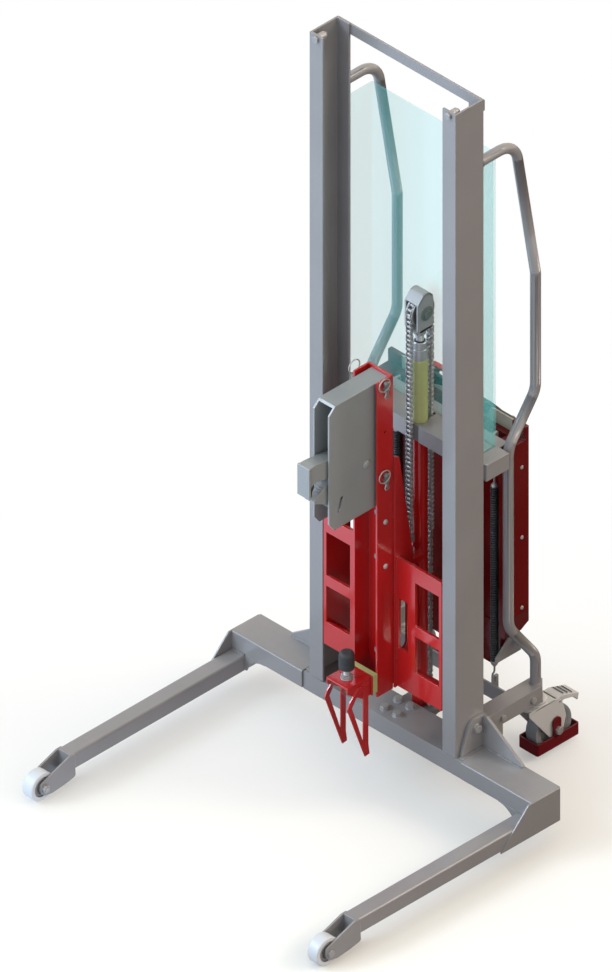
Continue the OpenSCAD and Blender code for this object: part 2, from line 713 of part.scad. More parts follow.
// ---------- wheels ----------
module leg_roller(s) side(s) color([0.8, 0.8, 0.78])
  translate([leg_x - roller_w / 2, -roller_y, roller_d / 2]) rotate([0, 90, 0])
    difference() {
      cylinder(r = roller_d / 2, h = roller_w, $fn = 96);
      translate([0, 0, -1]) cylinder(r = 6.05, h = roller_w + 2);
      for (z = [-1, roller_w - 2]) translate([0, 0, z]) difference() {
        cylinder(r = 29, h = 3);
        translate([0, 0, -1]) cylinder(r = 11, h = 5);
      }
    }

module caster_fork(s) side(s) color([0.5, 0.5, 0.5]) {
  rod_z(caster_x, king_y, 145, 159.7, 26);
  rod_z(caster_x, king_y, 141, 184, 7.95);
  translate([caster_x, king_y, 166.4]) cylinder(d = 19 * 1.1547, h = 10, $fn = 6);
  box([caster_x - 25, 236, 141], [caster_x + 25, 322, 145]);
  for (x = [caster_x - 25, caster_x + 22]) yz(x, x + 3)
    polygon([[236, 145], [236, 134], [304, 44], [318, 36], [338, 40], [352, 60],
             [356, 86], [352, 104], [345, 130], [337, 139], [322, 145]]);
  rod_x(caster_x - 27, caster_x + 27, 337, 132, 3);   // pedal pin
  rod_x(caster_x - 36, caster_x + 36, cast_y, cast_z, 6);
  for (x = [caster_x - 40, caster_x + 32]) translate([x, cast_y, cast_z])
    rotate([0, 90, 0]) cylinder(d = 19 * 1.1547, h = 8, $fn = 6);
}

module toe_guard(s) side(s) color([0.42, 0.01, 0.02]) difference() {
  union() {
    difference() {
      box([caster_x - 32, 256, 15], [caster_x + 32, 394, 47]);
      box([caster_x - 28, 260, 14], [caster_x + 28, 390, 48]);
    }
    // upright fingers held by the wheel's axle bolt
    for (x = [caster_x - 32, caster_x + 28]) yz(x, x + 4) {
      translate([309, 40]) square([26, 44]);
      translate([322, 84]) circle(r = 13);
    }
    // spacer washers between the fingers and the fork
    for (x = [caster_x - 28, caster_x + 25.2])
      rod_x(x, x + 2.8, cast_y, cast_z, 10);
  }
  rod_x(caster_x - 41, caster_x + 41, cast_y, cast_z, 6.1);
}
module caster_wheel(s) side(s) color([0.3, 0.3, 0.3])
  translate([caster_x - caster_w / 2, cast_y, cast_z]) rotate([0, 90, 0])
    difference() {
      cylinder(r = caster_d / 2, h = caster_w, $fn = 96);
      translate([0, 0, -1]) cylinder(r = 6.05, h = caster_w + 2);
      for (z = [-1, caster_w - 3]) translate([0, 0, z]) difference() {
        cylinder(r = 44, h = 4);
        translate([0, 0, -1]) cylinder(r = 15, h = 6);
      }
    }
module brake_pedal(s) side(s) color([0.55, 0.56, 0.55]) {
  difference() {
    union() {
      yz(caster_x - 20, caster_x + 20) polygon([[330, 141], [345, 142.5],
        [401.5, 123], [400, 119], [344, 138], [330, 137]]);
      for (x = [caster_x - 21, caster_x + 18]) yz(x, x + 3)
        polygon([[328, 140], [345, 142.5], [401.5, 123], [397, 106], [384, 121],
                 [352, 129], [342, 124], [330, 126]]);
      yz(caster_x - 21, caster_x + 21)
        polygon([[398, 124], [401.5, 123], [398, 104], [395, 105]]);
    }
    rod_x(caster_x - 30, caster_x + 30, 337, 132, 3.05);
  }
}

// ---------- the assembly ----------
place() base_crossbeam();
place() outrigger(-1);  // outrigger_left
place() outrigger(1);  // outrigger_right
place() mast_post(-1);  // mast_post_left
place() mast_post(1);  // mast_post_right
place() top_bar();
place() hex_bolts();
place() rear_arm(-1);  // rear_arm_left
place() rear_arm(1);  // rear_arm_right
place() rear_cross_plate();
place() frame_tray();
place() guard_panel();
place() handle(-1);  // handle_left
place() handle(1);  // handle_right
place() cylinder_barrel();
place() cylinder_sleeve();
place() hydraulic_pipe();
place() chain_fixed_strand();
place() tension_springs();
place() hood_shell();
place() hood_pan();
place() console_back();
place() control_panel();
place() battery();
place() pump_unit();
place() oil_tank();
place() piston_rod();
place() sheave_yoke();
place() chain_rear_strand();
place() sheave();
place() carriage_frame();
place() chain_anchor();
place() chain_front_strand();
place() attachment_column();
place() locking_pins();
place() head_housing();
place() rest_bracket();
place() rest_spacer();
place() rest_bumper();
place() carriage_roller(-1, roller_zs[0]);  // carriage_roller_1
place() carriage_roller(-1, roller_zs[1]);  // carriage_roller_2
place() carriage_roller(1, roller_zs[0]);  // carriage_roller_3
place() carriage_roller(1, roller_zs[1]);  // carriage_roller_4
place() upper_jaw();
place() jaw_pad();
place() lower_jaw();
place() leg_roller(-1);  // leg_roller_left
place() leg_roller(1);  // leg_roller_right
place() caster_fork(-1);  // caster_fork_left
place() caster_fork(1);  // caster_fork_right
place() toe_guard(-1);  // toe_guard_left
place() toe_guard(1);  // toe_guard_right
place() caster_wheel(-1);  // caster_wheel_left
place() caster_wheel(1);  // caster_wheel_right
place() brake_pedal(-1);  // brake_pedal_left
place() brake_pedal(1);  // brake_pedal_right
place() stop_button();
place() key_switch();
place() push_button(0, 35, [0.1, 0.45, 0.15]);  // raise_button
place() push_button(0, 78, [0.8, 0.8, 0.78]);  // lower_button
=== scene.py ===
import bpy
import bmesh
import json
import math
from mathutils import Vector, Matrix, noise
from mathutils.geometry import tessellate_polygon


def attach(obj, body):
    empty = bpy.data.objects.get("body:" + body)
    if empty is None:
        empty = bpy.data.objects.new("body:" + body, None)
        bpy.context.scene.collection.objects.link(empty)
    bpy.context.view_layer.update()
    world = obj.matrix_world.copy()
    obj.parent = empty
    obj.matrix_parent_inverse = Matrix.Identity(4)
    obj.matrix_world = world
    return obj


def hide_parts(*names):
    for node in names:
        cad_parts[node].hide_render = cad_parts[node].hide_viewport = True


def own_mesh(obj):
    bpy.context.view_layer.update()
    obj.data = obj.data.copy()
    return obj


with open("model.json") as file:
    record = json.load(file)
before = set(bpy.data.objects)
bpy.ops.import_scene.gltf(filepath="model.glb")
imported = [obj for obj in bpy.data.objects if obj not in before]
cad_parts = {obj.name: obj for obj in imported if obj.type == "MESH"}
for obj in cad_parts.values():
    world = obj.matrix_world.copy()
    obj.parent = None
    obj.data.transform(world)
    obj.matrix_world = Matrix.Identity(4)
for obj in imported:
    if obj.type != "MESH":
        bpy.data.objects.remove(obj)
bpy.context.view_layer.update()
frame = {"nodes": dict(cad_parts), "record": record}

NODES = frame["nodes"]
MM = 0.001
OY = 150.0            # mast face to the middle of the footprint
TAU = 2 * math.pi


# ------------------------------------------------------------- camera
def make_camera():
    cam = bpy.data.cameras.new("camera")
    cam.type = "ORTHO"
    cam.ortho_scale = 2.2605
    cam.clip_start, cam.clip_end = 0.1, 60
    o = bpy.data.objects.new("camera", cam)
    bpy.context.scene.collection.objects.link(o)
    back = Vector((1, -1, 1)).normalized()
    o.location = Vector((0, -0.10175, 0.9154)) + back * 7
    o.rotation_mode = "QUATERNION"
    o.rotation_quaternion = (-back).to_track_quat("-Z", "Y")
    bpy.context.scene.camera = o


make_camera()
bpy.context.scene.view_settings.view_transform = "Standard"


# ------------------------------------------------------------- materials
class Nodes:
    """A small helper that adds shader nodes and links."""

    def __init__(self, name):
        self.mat = bpy.data.materials.new(name)
        self.mat.use_nodes = True
        self.t = self.mat.node_tree
        self.t.nodes.clear()
        self.out = self.t.nodes.new("ShaderNodeOutputMaterial")
        self.bsdf = self.t.nodes.new("ShaderNodeBsdfPrincipled")
        self.t.links.new(self.bsdf.outputs[0], self.out.inputs[0])
        self.co = self.t.nodes.new("ShaderNodeTexCoord").outputs["Object"]

    def add(self, kind, **props):
        n = self.t.nodes.new(kind)
        for k, v in props.items():
            setattr(n, k, v)
        return n

    def link(self, a, b):
        self.t.links.new(a, b)

    def set(self, n, **vals):
        for k, v in vals.items():
            n.inputs[k.replace("_", " ")].default_value = v

    def scaled(self, sx, sy, sz):
        m = self.add("ShaderNodeMapping")
        m.inputs["Scale"].default_value = (sx, sy, sz)
        self.link(self.co, m.inputs["Vector"])
        return m.outputs[0]

    def noise(self, scale, detail=3.0, rough=0.55, co=None, distort=0.0):
        n = self.add("ShaderNodeTexNoise")
        n.inputs["Scale"].default_value = scale
        n.inputs["Detail"].default_value = detail
        n.inputs["Roughness"].default_value = rough
        n.inputs["Distortion"].default_value = distort
        self.link(co or self.co, n.inputs["Vector"])
        return n.outputs["Fac"]

    def ramp(self, fac, stops):
        r = self.add("ShaderNodeValToRGB")
        e = r.color_ramp.elements
        while len(e) < len(stops):
            e.new(0.5)
        for el, (p, c) in zip(e, stops):
            el.position = p
            el.color = c if len(c) == 4 else (*c, 1)
        self.link(fac, r.inputs[0])
        return r.outputs[0]

    def remap(self, v, a, b, c, d):
        m = self.add("ShaderNodeMapRange")
        for i, x in zip((1, 2, 3, 4), (a, b, c, d)):
            m.inputs[i].default_value = x
        self.link(v, m.inputs[0])
        return m.outputs[0]

    def math(self, op, a, b=None):
        m = self.add("ShaderNodeMath", operation=op)
        for i, x in enumerate((a, b)):
            if x is None:
                continue
            if isinstance(x, (int, float)):
                m.inputs[i].default_value = x
            else:
                self.link(x, m.inputs[i])
        return m.outputs[0]

    def mix(self, fac, a, b, mode="MIX"):
        m = self.add("ShaderNodeMix", data_type="RGBA", blend_type=mode)
        for i, x in ((0, fac), (6, a), (7, b)):
            if isinstance(x, (int, float)):
                m.inputs[i].default_value = x
            elif isinstance(x, (tuple, list)):
                m.inputs[i].default_value = (*x[:3], 1)
            else:
                self.link(x, m.inputs[i])
        return m.outputs[2]

    def bump(self, height, strength, dist, prev=None):
        b = self.add("ShaderNodeBump")
        b.inputs["Strength"].default_value = strength
        b.inputs["Distance"].default_value = dist
        self.link(height, b.inputs["Height"])
        if prev is not None:
            self.link(prev, b.inputs["Normal"])
        return b.outputs[0]

    def edge(self, radius=0.0022):
        """1 on edges, 0 on flats."""
        bev = self.add("ShaderNodeBevel", samples=4)
        bev.inputs["Radius"].default_value = radius
        geo = self.add("ShaderNodeNewGeometry")
        d = self.add("ShaderNodeVectorMath", operation="DOT_PRODUCT")
        self.link(bev.outputs[0], d.inputs[0])
        self.link(geo.outputs["Normal"], d.inputs[1])
        return self.remap(d.outputs["Value"], 0.99, 0.80, 0.0, 1.0)

    def soft(self, radius):
        """A normal that is rounded over the edges."""
        bev = self.add("ShaderNodeBevel", samples=4)
        bev.inputs["Radius"].default_value = radius
        return bev.outputs[0]

    def up(self):
        """1 where the surface faces upward."""
        geo = self.add("ShaderNodeNewGeometry")
        s = self.add("ShaderNodeSeparateXYZ")
        self.link(geo.outputs["Normal"], s.inputs[0])
        return self.remap(s.outputs[2], 0.6, 1.0, 0.0, 1.0)


def paint(name, base, rough=0.30, worn=(0.42, 0.41, 0.40), wear=0.20, peel=0.03,
          coat=0.0, dust=0.02, spread=0.035, spec=0.5):
    n = Nodes(name)
    b = n.bsdf
    b.inputs["Specular IOR Level"].default_value = spec
    dark = tuple(c * (1 - spread) for c in base)
    lite = tuple(min(1, c * (1 + spread) + 0.004) for c in base)
    big = n.noise(4.5, 4, 0.6)
    col = n.mix(n.remap(big, 0.35, 0.65, 0, 1), dark, lite)
    fine = n.noise(160, 2, 0.5)
    col = n.mix(n.remap(fine, 0.45, 0.75, 0, 0.10), col, tuple(c * 0.88 for c in base))
    # settled dust on tops and faint streaks that run down
    streak = n.noise(9, 3, 0.5, n.scaled(6, 6, 0.35))
    col = n.mix(n.remap(streak, 0.55, 0.85, 0, 0.07), col, tuple(c * 0.70 for c in base))
    d = n.math("MULTIPLY", n.up(), n.remap(n.noise(22, 3, 0.5), 0.4, 0.8, 0.0, dust * 4))
    col = n.mix(d, col, (0.34, 0.33, 0.31))
    # chipped and rubbed edges; every edge is also made a little lighter, a painted highlight
    edge = n.edge()
    e = n.math("MULTIPLY", edge, n.remap(n.noise(55, 3, 0.6), 0.56, 0.72, 0.0, wear))
    # painted highlight: all edges a little lighter
    col = n.mix(n.math("MULTIPLY", edge, 0.22), col, tuple(min(1, c * 1.5 + 0.02) for c in base))
    col = n.mix(e, col, worn)
    n.link(col, b.inputs["Base Color"])
    r = n.remap(n.noise(14, 4, 0.6), 0.3, 0.75, rough - 0.01, rough + 0.07)
    r = n.math("ADD", r, n.math("MULTIPLY", e, 0.25))
    n.link(r, b.inputs["Roughness"])
    nb = n.bump(n.noise(210, 1, 0.4), peel, 0.0006, n.soft(0.0014))
    nb = n.bump(n.noise(12, 1, 0.3), 0.02, 0.003, nb)
    n.link(nb, b.inputs["Normal"])
    b.inputs["Coat Weight"].default_value = coat
    b.inputs["Coat Roughness"].default_value = 0.09
    return n.mat


def metal(name, base, rough=0.28, dark=(0.16, 0.15, 0.14), grime=0.25, stretch=(1, 1, 1),
          bumpy=0.10, metallic=0.45):
    n = Nodes(name)
    b = n.bsdf
    b.inputs["Metallic"].default_value = metallic
    col = n.mix(n.remap(n.noise(30, 4, 0.6), 0.35, 0.7, 0, 1),
                tuple(c * 0.86 for c in base), tuple(min(1, c * 1.08) for c in base))
    g = n.remap(n.noise(70, 6, 0.75), 0.50, 0.72, 0, grime)
    col = n.mix(g, col, dark)
    # painted highlight: every edge a little lighter, as if catching light
    e = n.math("MULTIPLY", n.edge(0.0012), 0.5)
    col = n.mix(e, col, tuple(min(1, c * 1.25) for c in base))
    n.link(col, b.inputs["Base Color"])
    r = n.remap(n.noise(40, 5, 0.7), 0.3, 0.75, rough - 0.04, rough + 0.16)
    n.link(n.math("ADD", r, n.math("MULTIPLY", g, 0.3)), b.inputs["Roughness"])
    nb = n.bump(n.noise(260, 3, 0.6, n.scaled(*stretch)), bumpy, 0.0003)
    n.link(nb, b.inputs["Normal"])
    return n.mat


def polymer(name, base, rough=0.5, grain=420, depth=0.25, scuff=(0.5, 0.5, 0.5),
            scuffs=0.18, spread=0.12, spec=0.5):
    n = Nodes(name)
    b = n.bsdf
    b.inputs["Specular IOR Level"].default_value = spec
    col = n.mix(n.remap(n.noise(18, 4, 0.6), 0.3, 0.7, 0, 1),
                tuple(c * (1 - spread) for c in base),
                tuple(min(1, c * (1 + spread)) for c in base))
    s = n.remap(n.noise(48, 6, 0.75, n.scaled(1, 2.5, 1), 0.6), 0.56, 0.74, 0, scuffs)
    col = n.mix(s, col, scuff)
    e = n.math("MULTIPLY", n.edge(0.0018), n.remap(n.noise(60, 4, 0.7), 0.45, 0.65, 0, 0.4))
    col = n.mix(e, col, tuple(min(1, c * 1.3 + 0.03) for c in base))
    n.link(col, b.inputs["Base Color"])
    r = n.remap(n.noise(26, 5, 0.7), 0.3, 0.75, rough - 0.08, rough + 0.10)
    n.link(n.math("ADD", r, n.math("MULTIPLY", s, 0.4)), b.inputs["Roughness"])
    nb = n.bump(n.noise(grain, 2, 0.5), depth, 0.0004)
    n.link(nb, b.inputs["Normal"])
    return n.mat


def clear_sheet(name):
    n = Nodes(name)
    b = n.bsdf
    n.link(n.mix(n.remap(n.noise(3, 3, 0.6), 0.3, 0.7, 0, 1), (0.16, 0.53, 0.505), (0.18, 0.57, 0.545)),
           b.inputs["Base Color"])
    scratch = n.remap(n.noise(60, 6, 0.8, n.scaled(8, 8, 0.6), 0.3), 0.58, 0.76, 0, 1)
    n.link(n.math("ADD", n.math("MULTIPLY", scratch, 0.14), 0.10), b.inputs["Roughness"])
    n.link(n.bump(n.noise(14, 2, 0.4), 0.03, 0.002), b.inputs["Normal"])
    b.inputs["Alpha"].default_value = 0.206
    return n.mat


def weld_metal(name, base):
    """Painted weld bead: the paint's colour over a rippled surface."""
    n = Nodes(name)
    b = n.bsdf
    col = n.mix(n.remap(n.noise(60, 4, 0.6), 0.35, 0.65, 0, 1),
                tuple(c * 0.82 for c in base), tuple(min(1, c * 1.12) for c in base))
    n.link(col, b.inputs["Base Color"])
    n.link(n.remap(n.noise(80, 4, 0.7), 0.3, 0.7, 0.28, 0.50), b.inputs["Roughness"])
    n.link(n.bump(n.noise(500, 3, 0.6), 0.25, 0.0005), b.inputs["Normal"])
    return n.mat


GREY = (0.195, 0.188, 0.184)
JAW = (0.215, 0.224, 0.216)
RED = (0.390, 0.006, 0.006)
HOOD = (0.090, 0.0012, 0.0010)
TOE = (0.095, 0.0012, 0.004)
MAT = {
    "frame_grey": paint("frame_grey", GREY, 0.30, coat=0.35),
    "jaw_grey": paint("jaw_grey", JAW, 0.34, coat=0.35),
    "carriage_red": paint("carriage_red", RED, 0.18, (0.36, 0.20, 0.19), 0.20, 0.03, 0.6),
    "hood_red": paint("hood_red", HOOD, 0.16, (0.18, 0.05, 0.05), 0.15, 0.02, 0.0, 0.005, 0.03, 0.40),
    "toe_red": paint("toe_red", TOE, 0.30, (0.30, 0.20, 0.19), 0.30, 0.05, 0.0, 0.01, 0.035, 0.25),
    "guard_clear": clear_sheet("guard_clear"),
    "zinc": metal("zinc", (0.33, 0.322, 0.31), 0.34),
    "chain_steel": metal("chain_steel", (0.36, 0.355, 0.345), 0.34, (0.06, 0.055, 0.05), 0.35),
    "rod_chrome": metal("rod_chrome", (0.52, 0.54, 0.54), 0.22, (0.45, 0.45, 0.45), 0.06, (1, 1, 8), 0.02, 0.55),
    "cylinder_olive": paint("cylinder_olive", (0.36, 0.38, 0.145), 0.34, (0.30, 0.30, 0.28), 0.3),
    "black_rubber": polymer("black_rubber", (0.020, 0.020, 0.021), 0.62, 500, 0.4, (0.09, 0.085, 0.08), 0.25),
    "black_steel": paint("black_steel", (0.022, 0.022, 0.024), 0.36, (0.20, 0.20, 0.20), 0.5),
    "roller_white": polymer("roller_white", (0.46, 0.475, 0.48), 0.36, 300, 0.12, (0.34, 0.33, 0.31), 0.25, 0.05),
    "caster_tyre": polymer("caster_tyre", (0.165, 0.175, 0.180), 0.40, 380, 0.2, (0.22, 0.21, 0.20), 0.30),
    "console_black": polymer("console_black", (0.028, 0.029, 0.031), 0.42, 700, 0.5, (0.10, 0.10, 0.10), 0.12),
    "console_beige": polymer("console_beige", (0.31, 0.28, 0.22), 0.52, 600, 0.35, (0.20, 0.18, 0.16), 0.22),
    "battery_case": polymer("battery_case", (0.035, 0.036, 0.040), 0.5, 420, 0.3, (0.15, 0.15, 0.15), 0.2),
    "tank_white": polymer("tank_white", (0.62, 0.60, 0.54), 0.42, 300, 0.15, (0.40, 0.36, 0.28), 0.25, 0.06),
    "pump_grey": paint("pump_grey", (0.10, 0.10, 0.11), 0.44, (0.35, 0.34, 0.33), 0.6, 0.5),
    "stop_red": polymer("stop_red", (0.50, 0.008, 0.010), 0.26, 300, 0.08, (0.30, 0.05, 0.05), 0.10, 0.05),
    "button_green": polymer("button_green", (0.02, 0.24, 0.06), 0.30, 300, 0.08, (0.05, 0.20, 0.08), 0.1, 0.05),
    "button_white": polymer("button_white", (0.62, 0.62, 0.60), 0.30, 300, 0.08, (0.35, 0.35, 0.34), 0.12, 0.04),
    "weld_grey": weld_metal("weld_grey", (0.18, 0.172, 0.168)),
    "weld_red": weld_metal("weld_red", (0.28, 0.007, 0.008)),
    "brass": metal("brass", (0.55, 0.40, 0.16), 0.30),
    "weld_toe": weld_metal("weld_toe", (0.16, 0.003, 0.006)),
    "core_grey": polymer("core_grey", (0.19, 0.18, 0.172), 0.42, 300, 0.12, (0.25, 0.24, 0.23), 0.2),
    "bearing_steel": metal("bearing_steel", (0.40, 0.39, 0.375), 0.26, (0.06, 0.05, 0.04), 0.35),
    # near-black fill, painted shade inside hollows and gaps
    "dark_gap": polymer("dark_gap", (0.010, 0.010, 0.011), 0.7, 300, 0.2, (0.03, 0.03, 0.03), 0.2),
    "pin_steel": metal("pin_steel", (0.17, 0.195, 0.18), 0.36),
    "chain_roller": metal("chain_roller", (0.31, 0.31, 0.30), 0.36, (0.10, 0.095, 0.09), 0.20),
    "chain_pin": metal("chain_pin", (0.62, 0.61, 0.60), 0.28, (0.06, 0.055, 0.05), 0.25),
    "spring_black": paint("spring_black", (0.020, 0.024, 0.023), 0.34, (0.16, 0.17, 0.16), 0.5),
    "hook_zinc": metal("hook_zinc", (0.30, 0.29, 0.275), 0.36),
    "clip_zinc": metal("clip_zinc", (0.40, 0.385, 0.35), 0.24),
    "bolt_dome": metal("bolt_dome", (0.42, 0.39, 0.37), 0.34),
    "sheave_steel": metal("sheave_steel", (0.28, 0.28, 0.285), 0.34, (0.06, 0.055, 0.05), 0.4),
    "gland_steel": metal("gland_steel", (0.42, 0.44, 0.44), 0.30),
    "yoke_grey": paint("yoke_grey", (0.25, 0.255, 0.25), 0.34),
    "fork_zinc": paint("fork_zinc", (0.40, 0.40, 0.385), 0.30, (0.50, 0.48, 0.45), 0.3, 0.04),
    "caster_core": polymer("caster_core", (0.21, 0.205, 0.195), 0.40, 300, 0.12, (0.30, 0.29, 0.28), 0.2),
    "seam_dark": polymer("seam_dark", (0.012, 0.004, 0.004), 0.6, 300, 0.2, (0.03, 0.02, 0.02), 0.1),
    "lead_grey": metal("lead_grey", (0.22, 0.22, 0.23), 0.5),
    "led_red": polymer("led_red", (0.45, 0.02, 0.02), 0.2, 200, 0.02, (0.4, 0.05, 0.05), 0.05),
    "led_amber": polymer("led_amber", (0.55, 0.26, 0.02), 0.2, 200, 0.02, (0.5, 0.3, 0.05), 0.05),
    "led_green": polymer("led_green", (0.04, 0.35, 0.07), 0.2, 200, 0.02, (0.1, 0.4, 0.1), 0.05),
}
SLOT = {s["node"]: s["material_slot"] for s in frame["record"]["subparts"]}


# ------------------------------------------------------------- mesh helpers
def lerp(a, b, t):
    return a + (b - a) * t


def V2(p):
    return Vector((p[0], p[1]))


def area2(poly):
    return 0.5 * sum(poly[i - 1][0] * poly[i][1] - poly[i][0] * poly[i - 1][1] for i in range(len(poly)))


def circle(cx, cy, r, n=24, a0=0.0):
    return [V2((cx + r * math.cos(a0 + TAU * i / n), cy + r * math.sin(a0 + TAU * i / n))) for i in range(n)]


def rounded(pts, r, seg=4):
    """An outline with arcs in its corners; r is one radius or one for each corner."""
    out, n = [], len(pts)
    for i, p in enumerate(pts):
        rr = r[i] if isinstance(r, (list, tuple)) else r
        p = V2(p)
        a, b = V2(pts[i - 1]) - p, V2(pts[(i + 1) % n]) - p
        la, lb = a.length, b.length
        a, b = a / la, b / lb
        ang = math.acos(max(-1, min(1, a.dot(b))))
        if rr <= 0 or ang > math.radians(176):
            out.append(p)
            continue
        t = min(rr / math.tan(ang / 2), 0.48 * min(la, lb))
        big = t * math.tan(ang / 2)
        c = p + (a + b).normalized() * (big / math.sin(ang / 2))
        p1, p2 = p + a * t - c, p + b * t - c
        a1, a2 = math.atan2(p1.y, p1.x), math.atan2(p2.y, p2.x)
        d = (a2 - a1 + math.pi) % TAU - math.pi
        for k in range(seg + 1):
            out.append(c + Vector((math.cos(a1 + d * k / seg), math.sin(a1 + d * k / seg))) * big)
    return out


def inset(poly, d):
    """Moves each edge of an outline to its left by d."""
    out, n = [], len(poly)
    for i in range(n):
        e1, e2 = (poly[i] - poly[i - 1]), (poly[(i + 1) % n] - poly[i])
        if e1.length < 1e-9 or e2.length < 1e-9:
            out.append(poly[i].copy())
            continue
        e1.normalize()
        e2.normalize()
        n1, n2 = Vector((-e1.y, e1.x)), Vector((-e2.y, e2.x))
        b = n1 + n2
        if b.length < 1e-6:
            out.append(poly[i] + n1 * d)
            continue
        b.normalize()
        out.append(poly[i] + b * (d / max(0.4, b.dot(n1))))
    return out


def basis(o, d, up=None):
    """A frame at o whose Z runs along d."""
    z = Vector(d).normalized()
    u = Vector(up) if up else (Vector((0, 0, 1)) if abs(z.z) < 0.9 else Vector((0, 1, 0)))
    x = u.cross(z).normalized()
    y = z.cross(x)
    m = Matrix((x, y, z)).transposed().to_4x4()
    m.translation = Vector(o)
    return m


AX = {"x": (1, 0, 0), "-x": (-1, 0, 0), "y": (0, 1, 0), "-y": (0, -1, 0), "z": (0, 0, 1), "-z": (0, 0, -1)}


class Shape:
    """Faces collected in millimetres from the mast's face."""

    def __init__(self):
        self.v, self.f, self.m, self.mats, self.cur, self.flip = [], [], [], [], 0, 1

    def mat(self, name):
        if name not in self.mats:
            self.mats.append(name)
        self.cur = self.mats.index(name)
        return self

    def face(self, idx):
        self.f.append(tuple(idx))
        self.m.append(self.cur)

    def skin(self, rings, wrap=False, cap0=True, cap1=True):
        n, base, k = len(rings[0]), len(self.v), len(rings)
        for r in rings:
            self.v.extend(Vector(p) for p in r)
        for i in range(k if wrap else k - 1):
            a, b = base + i * n, base + ((i + 1) % k) * n
            for j in range(n):
                q = (j + 1) % n
                self.face((a + j, a + q, b + q, b + j))
        if not wrap:
            if cap0:
                self.face(base + j for j in reversed(range(n)))
            if cap1:
                self.face(base + (k - 1) * n + j for j in range(n))
        return self

    def prism(self, outline, a, b, axis="x", bevel=0.8, holes=(), seg=2, m=None):
        """An outline with holes, extruded from a to b, with rounded rims."""
        put = {"x": lambda p, w: (w, p.x, p.y), "y": lambda p, w: (p.x, w, p.y),
               "z": lambda p, w: (p.x, p.y, w)}[axis]
        polys = []
        for i, q in enumerate([outline, *holes]):
            q = [V2(p) for p in q]
            if (area2(q) > 0) != (i == 0):
                q.reverse()
            polys.append(q)
        bevel = min(bevel, (b - a) * 0.45)
        if bevel <= 0:
            lv = [(a, 0), (b, 0)]
        elif seg == 1:
            lv = [(a, bevel), (a + bevel, 0), (b - bevel, 0), (b, bevel)]
        else:
            lv = [(a, bevel), (a + 0.3 * bevel, 0.3 * bevel), (a + bevel, 0),
                  (b - bevel, 0), (b - 0.3 * bevel, 0.3 * bevel), (b, bevel)]
        ends = [[], []]
        flat = []
        for q in polys:
            base, n = len(self.v), len(q)
            rings = [[put(p, w) for p in (inset(q, d) if d else q)] for w, d in lv]
            if m is not None:
                rings = [[m @ Vector(p) for p in r] for r in rings]
            self.skin(rings, cap0=False, cap1=False)
            ends[0] += range(base, base + n)
            ends[1] += range(base + (len(lv) - 1) * n, base + len(lv) * n)
            flat.append([Vector((p.x, p.y, 0)) for p in (inset(q, lv[0][1]) if lv[0][1] else q)])
        if len(polys) == 1 and len(polys[0]) <= 4:
            self.face(ends[0][::-1])
            self.face(ends[1])
        else:
            for t in tessellate_polygon(flat):
                self.face(ends[0][i] for i in t)
                self.face(ends[1][i] for i in reversed(t))
        return self

    def box(self, lo, hi, bevel=0.8, r=None, axis=None, m=None):
        d = [hi[i] - lo[i] for i in range(3)]
        ax = axis or "xyz"[d.index(max(d))]
        u, v = {"x": (1, 2), "y": (0, 2), "z": (0, 1)}[ax]
        w = "xyz".index(ax)
        q = [(lo[u], lo[v]), (hi[u], lo[v]), (hi[u], hi[v]), (lo[u], hi[v])]
        rr = bevel if r is None else r
        return self.prism(rounded(q, rr, 3 if rr > 1.5 else 2) if rr > 0 else q, lo[w], hi[w], ax, bevel, m=m)

    def lathe(self, prof, o, axis="z", n=40, wrap=False, m=None):
        """prof is a list of (radius, height along the axis)."""
        m = m or basis(o, AX[axis])
        rings, tips = [], {}
        base = len(self.v)
        for i, (r, h) in enumerate(prof):
            if r < 1e-6:
                tips[i] = h
                continue
            rings.append([m @ Vector((r * math.cos(TAU * j / n), r * math.sin(TAU * j / n), h)) for j in range(n)])
        first, last = 0 in tips, (len(prof) - 1) in tips
        self.skin(rings, wrap, False, False)
        if wrap:
            return self
        for flag, h, start in ((first, prof[0][1], base), (last, prof[-1][1], base + (len(rings) - 1) * n)):
            if flag:
                c = len(self.v)
                self.v.append(m @ Vector((0, 0, h)))
                for j in range(n):
                    self.face((c, start + j, start + (j + 1) % n))
            else:
                self.face(start + j for j in range(n))
        return self

    def tube(self, path, r, n=10, closed=False, radii=None, cap=True):
        pts = [Vector(p) for p in path]
        k = len(pts)
        tan = []
        for i in range(k):
            a = pts[i - 1] if (i or closed) else pts[0]
            b = pts[(i + 1) % k] if (i < k - 1 or closed) else pts[-1]
            tan.append((b - a).normalized())
        ref = Vector((0, 0, 1)) if abs(tan[0].z) < 0.9 else Vector((1, 0, 0))
        x = ref.cross(tan[0]).normalized()
        rings = []
        for i in range(k):
            x = (x - tan[i] * x.dot(tan[i])).normalized()
            y = tan[i].cross(x)
            rr = radii[i] if radii else r
            rings.append([pts[i] + (x * math.cos(TAU * j / n) + y * math.sin(TAU * j / n)) * rr for j in range(n)])
        return self.skin(rings, closed, cap, cap)

    def ring(self, o, axis, big, small, n=28, k=8, squashed=1.0, up=None):
        m = basis(o, AX[axis] if isinstance(axis, str) else axis, up)
        return self.tube([m @ Vector((big * math.cos(TAU * i / n), big * squashed * math.sin(TAU * i / n), 0))
                          for i in range(n)], small, k, True)

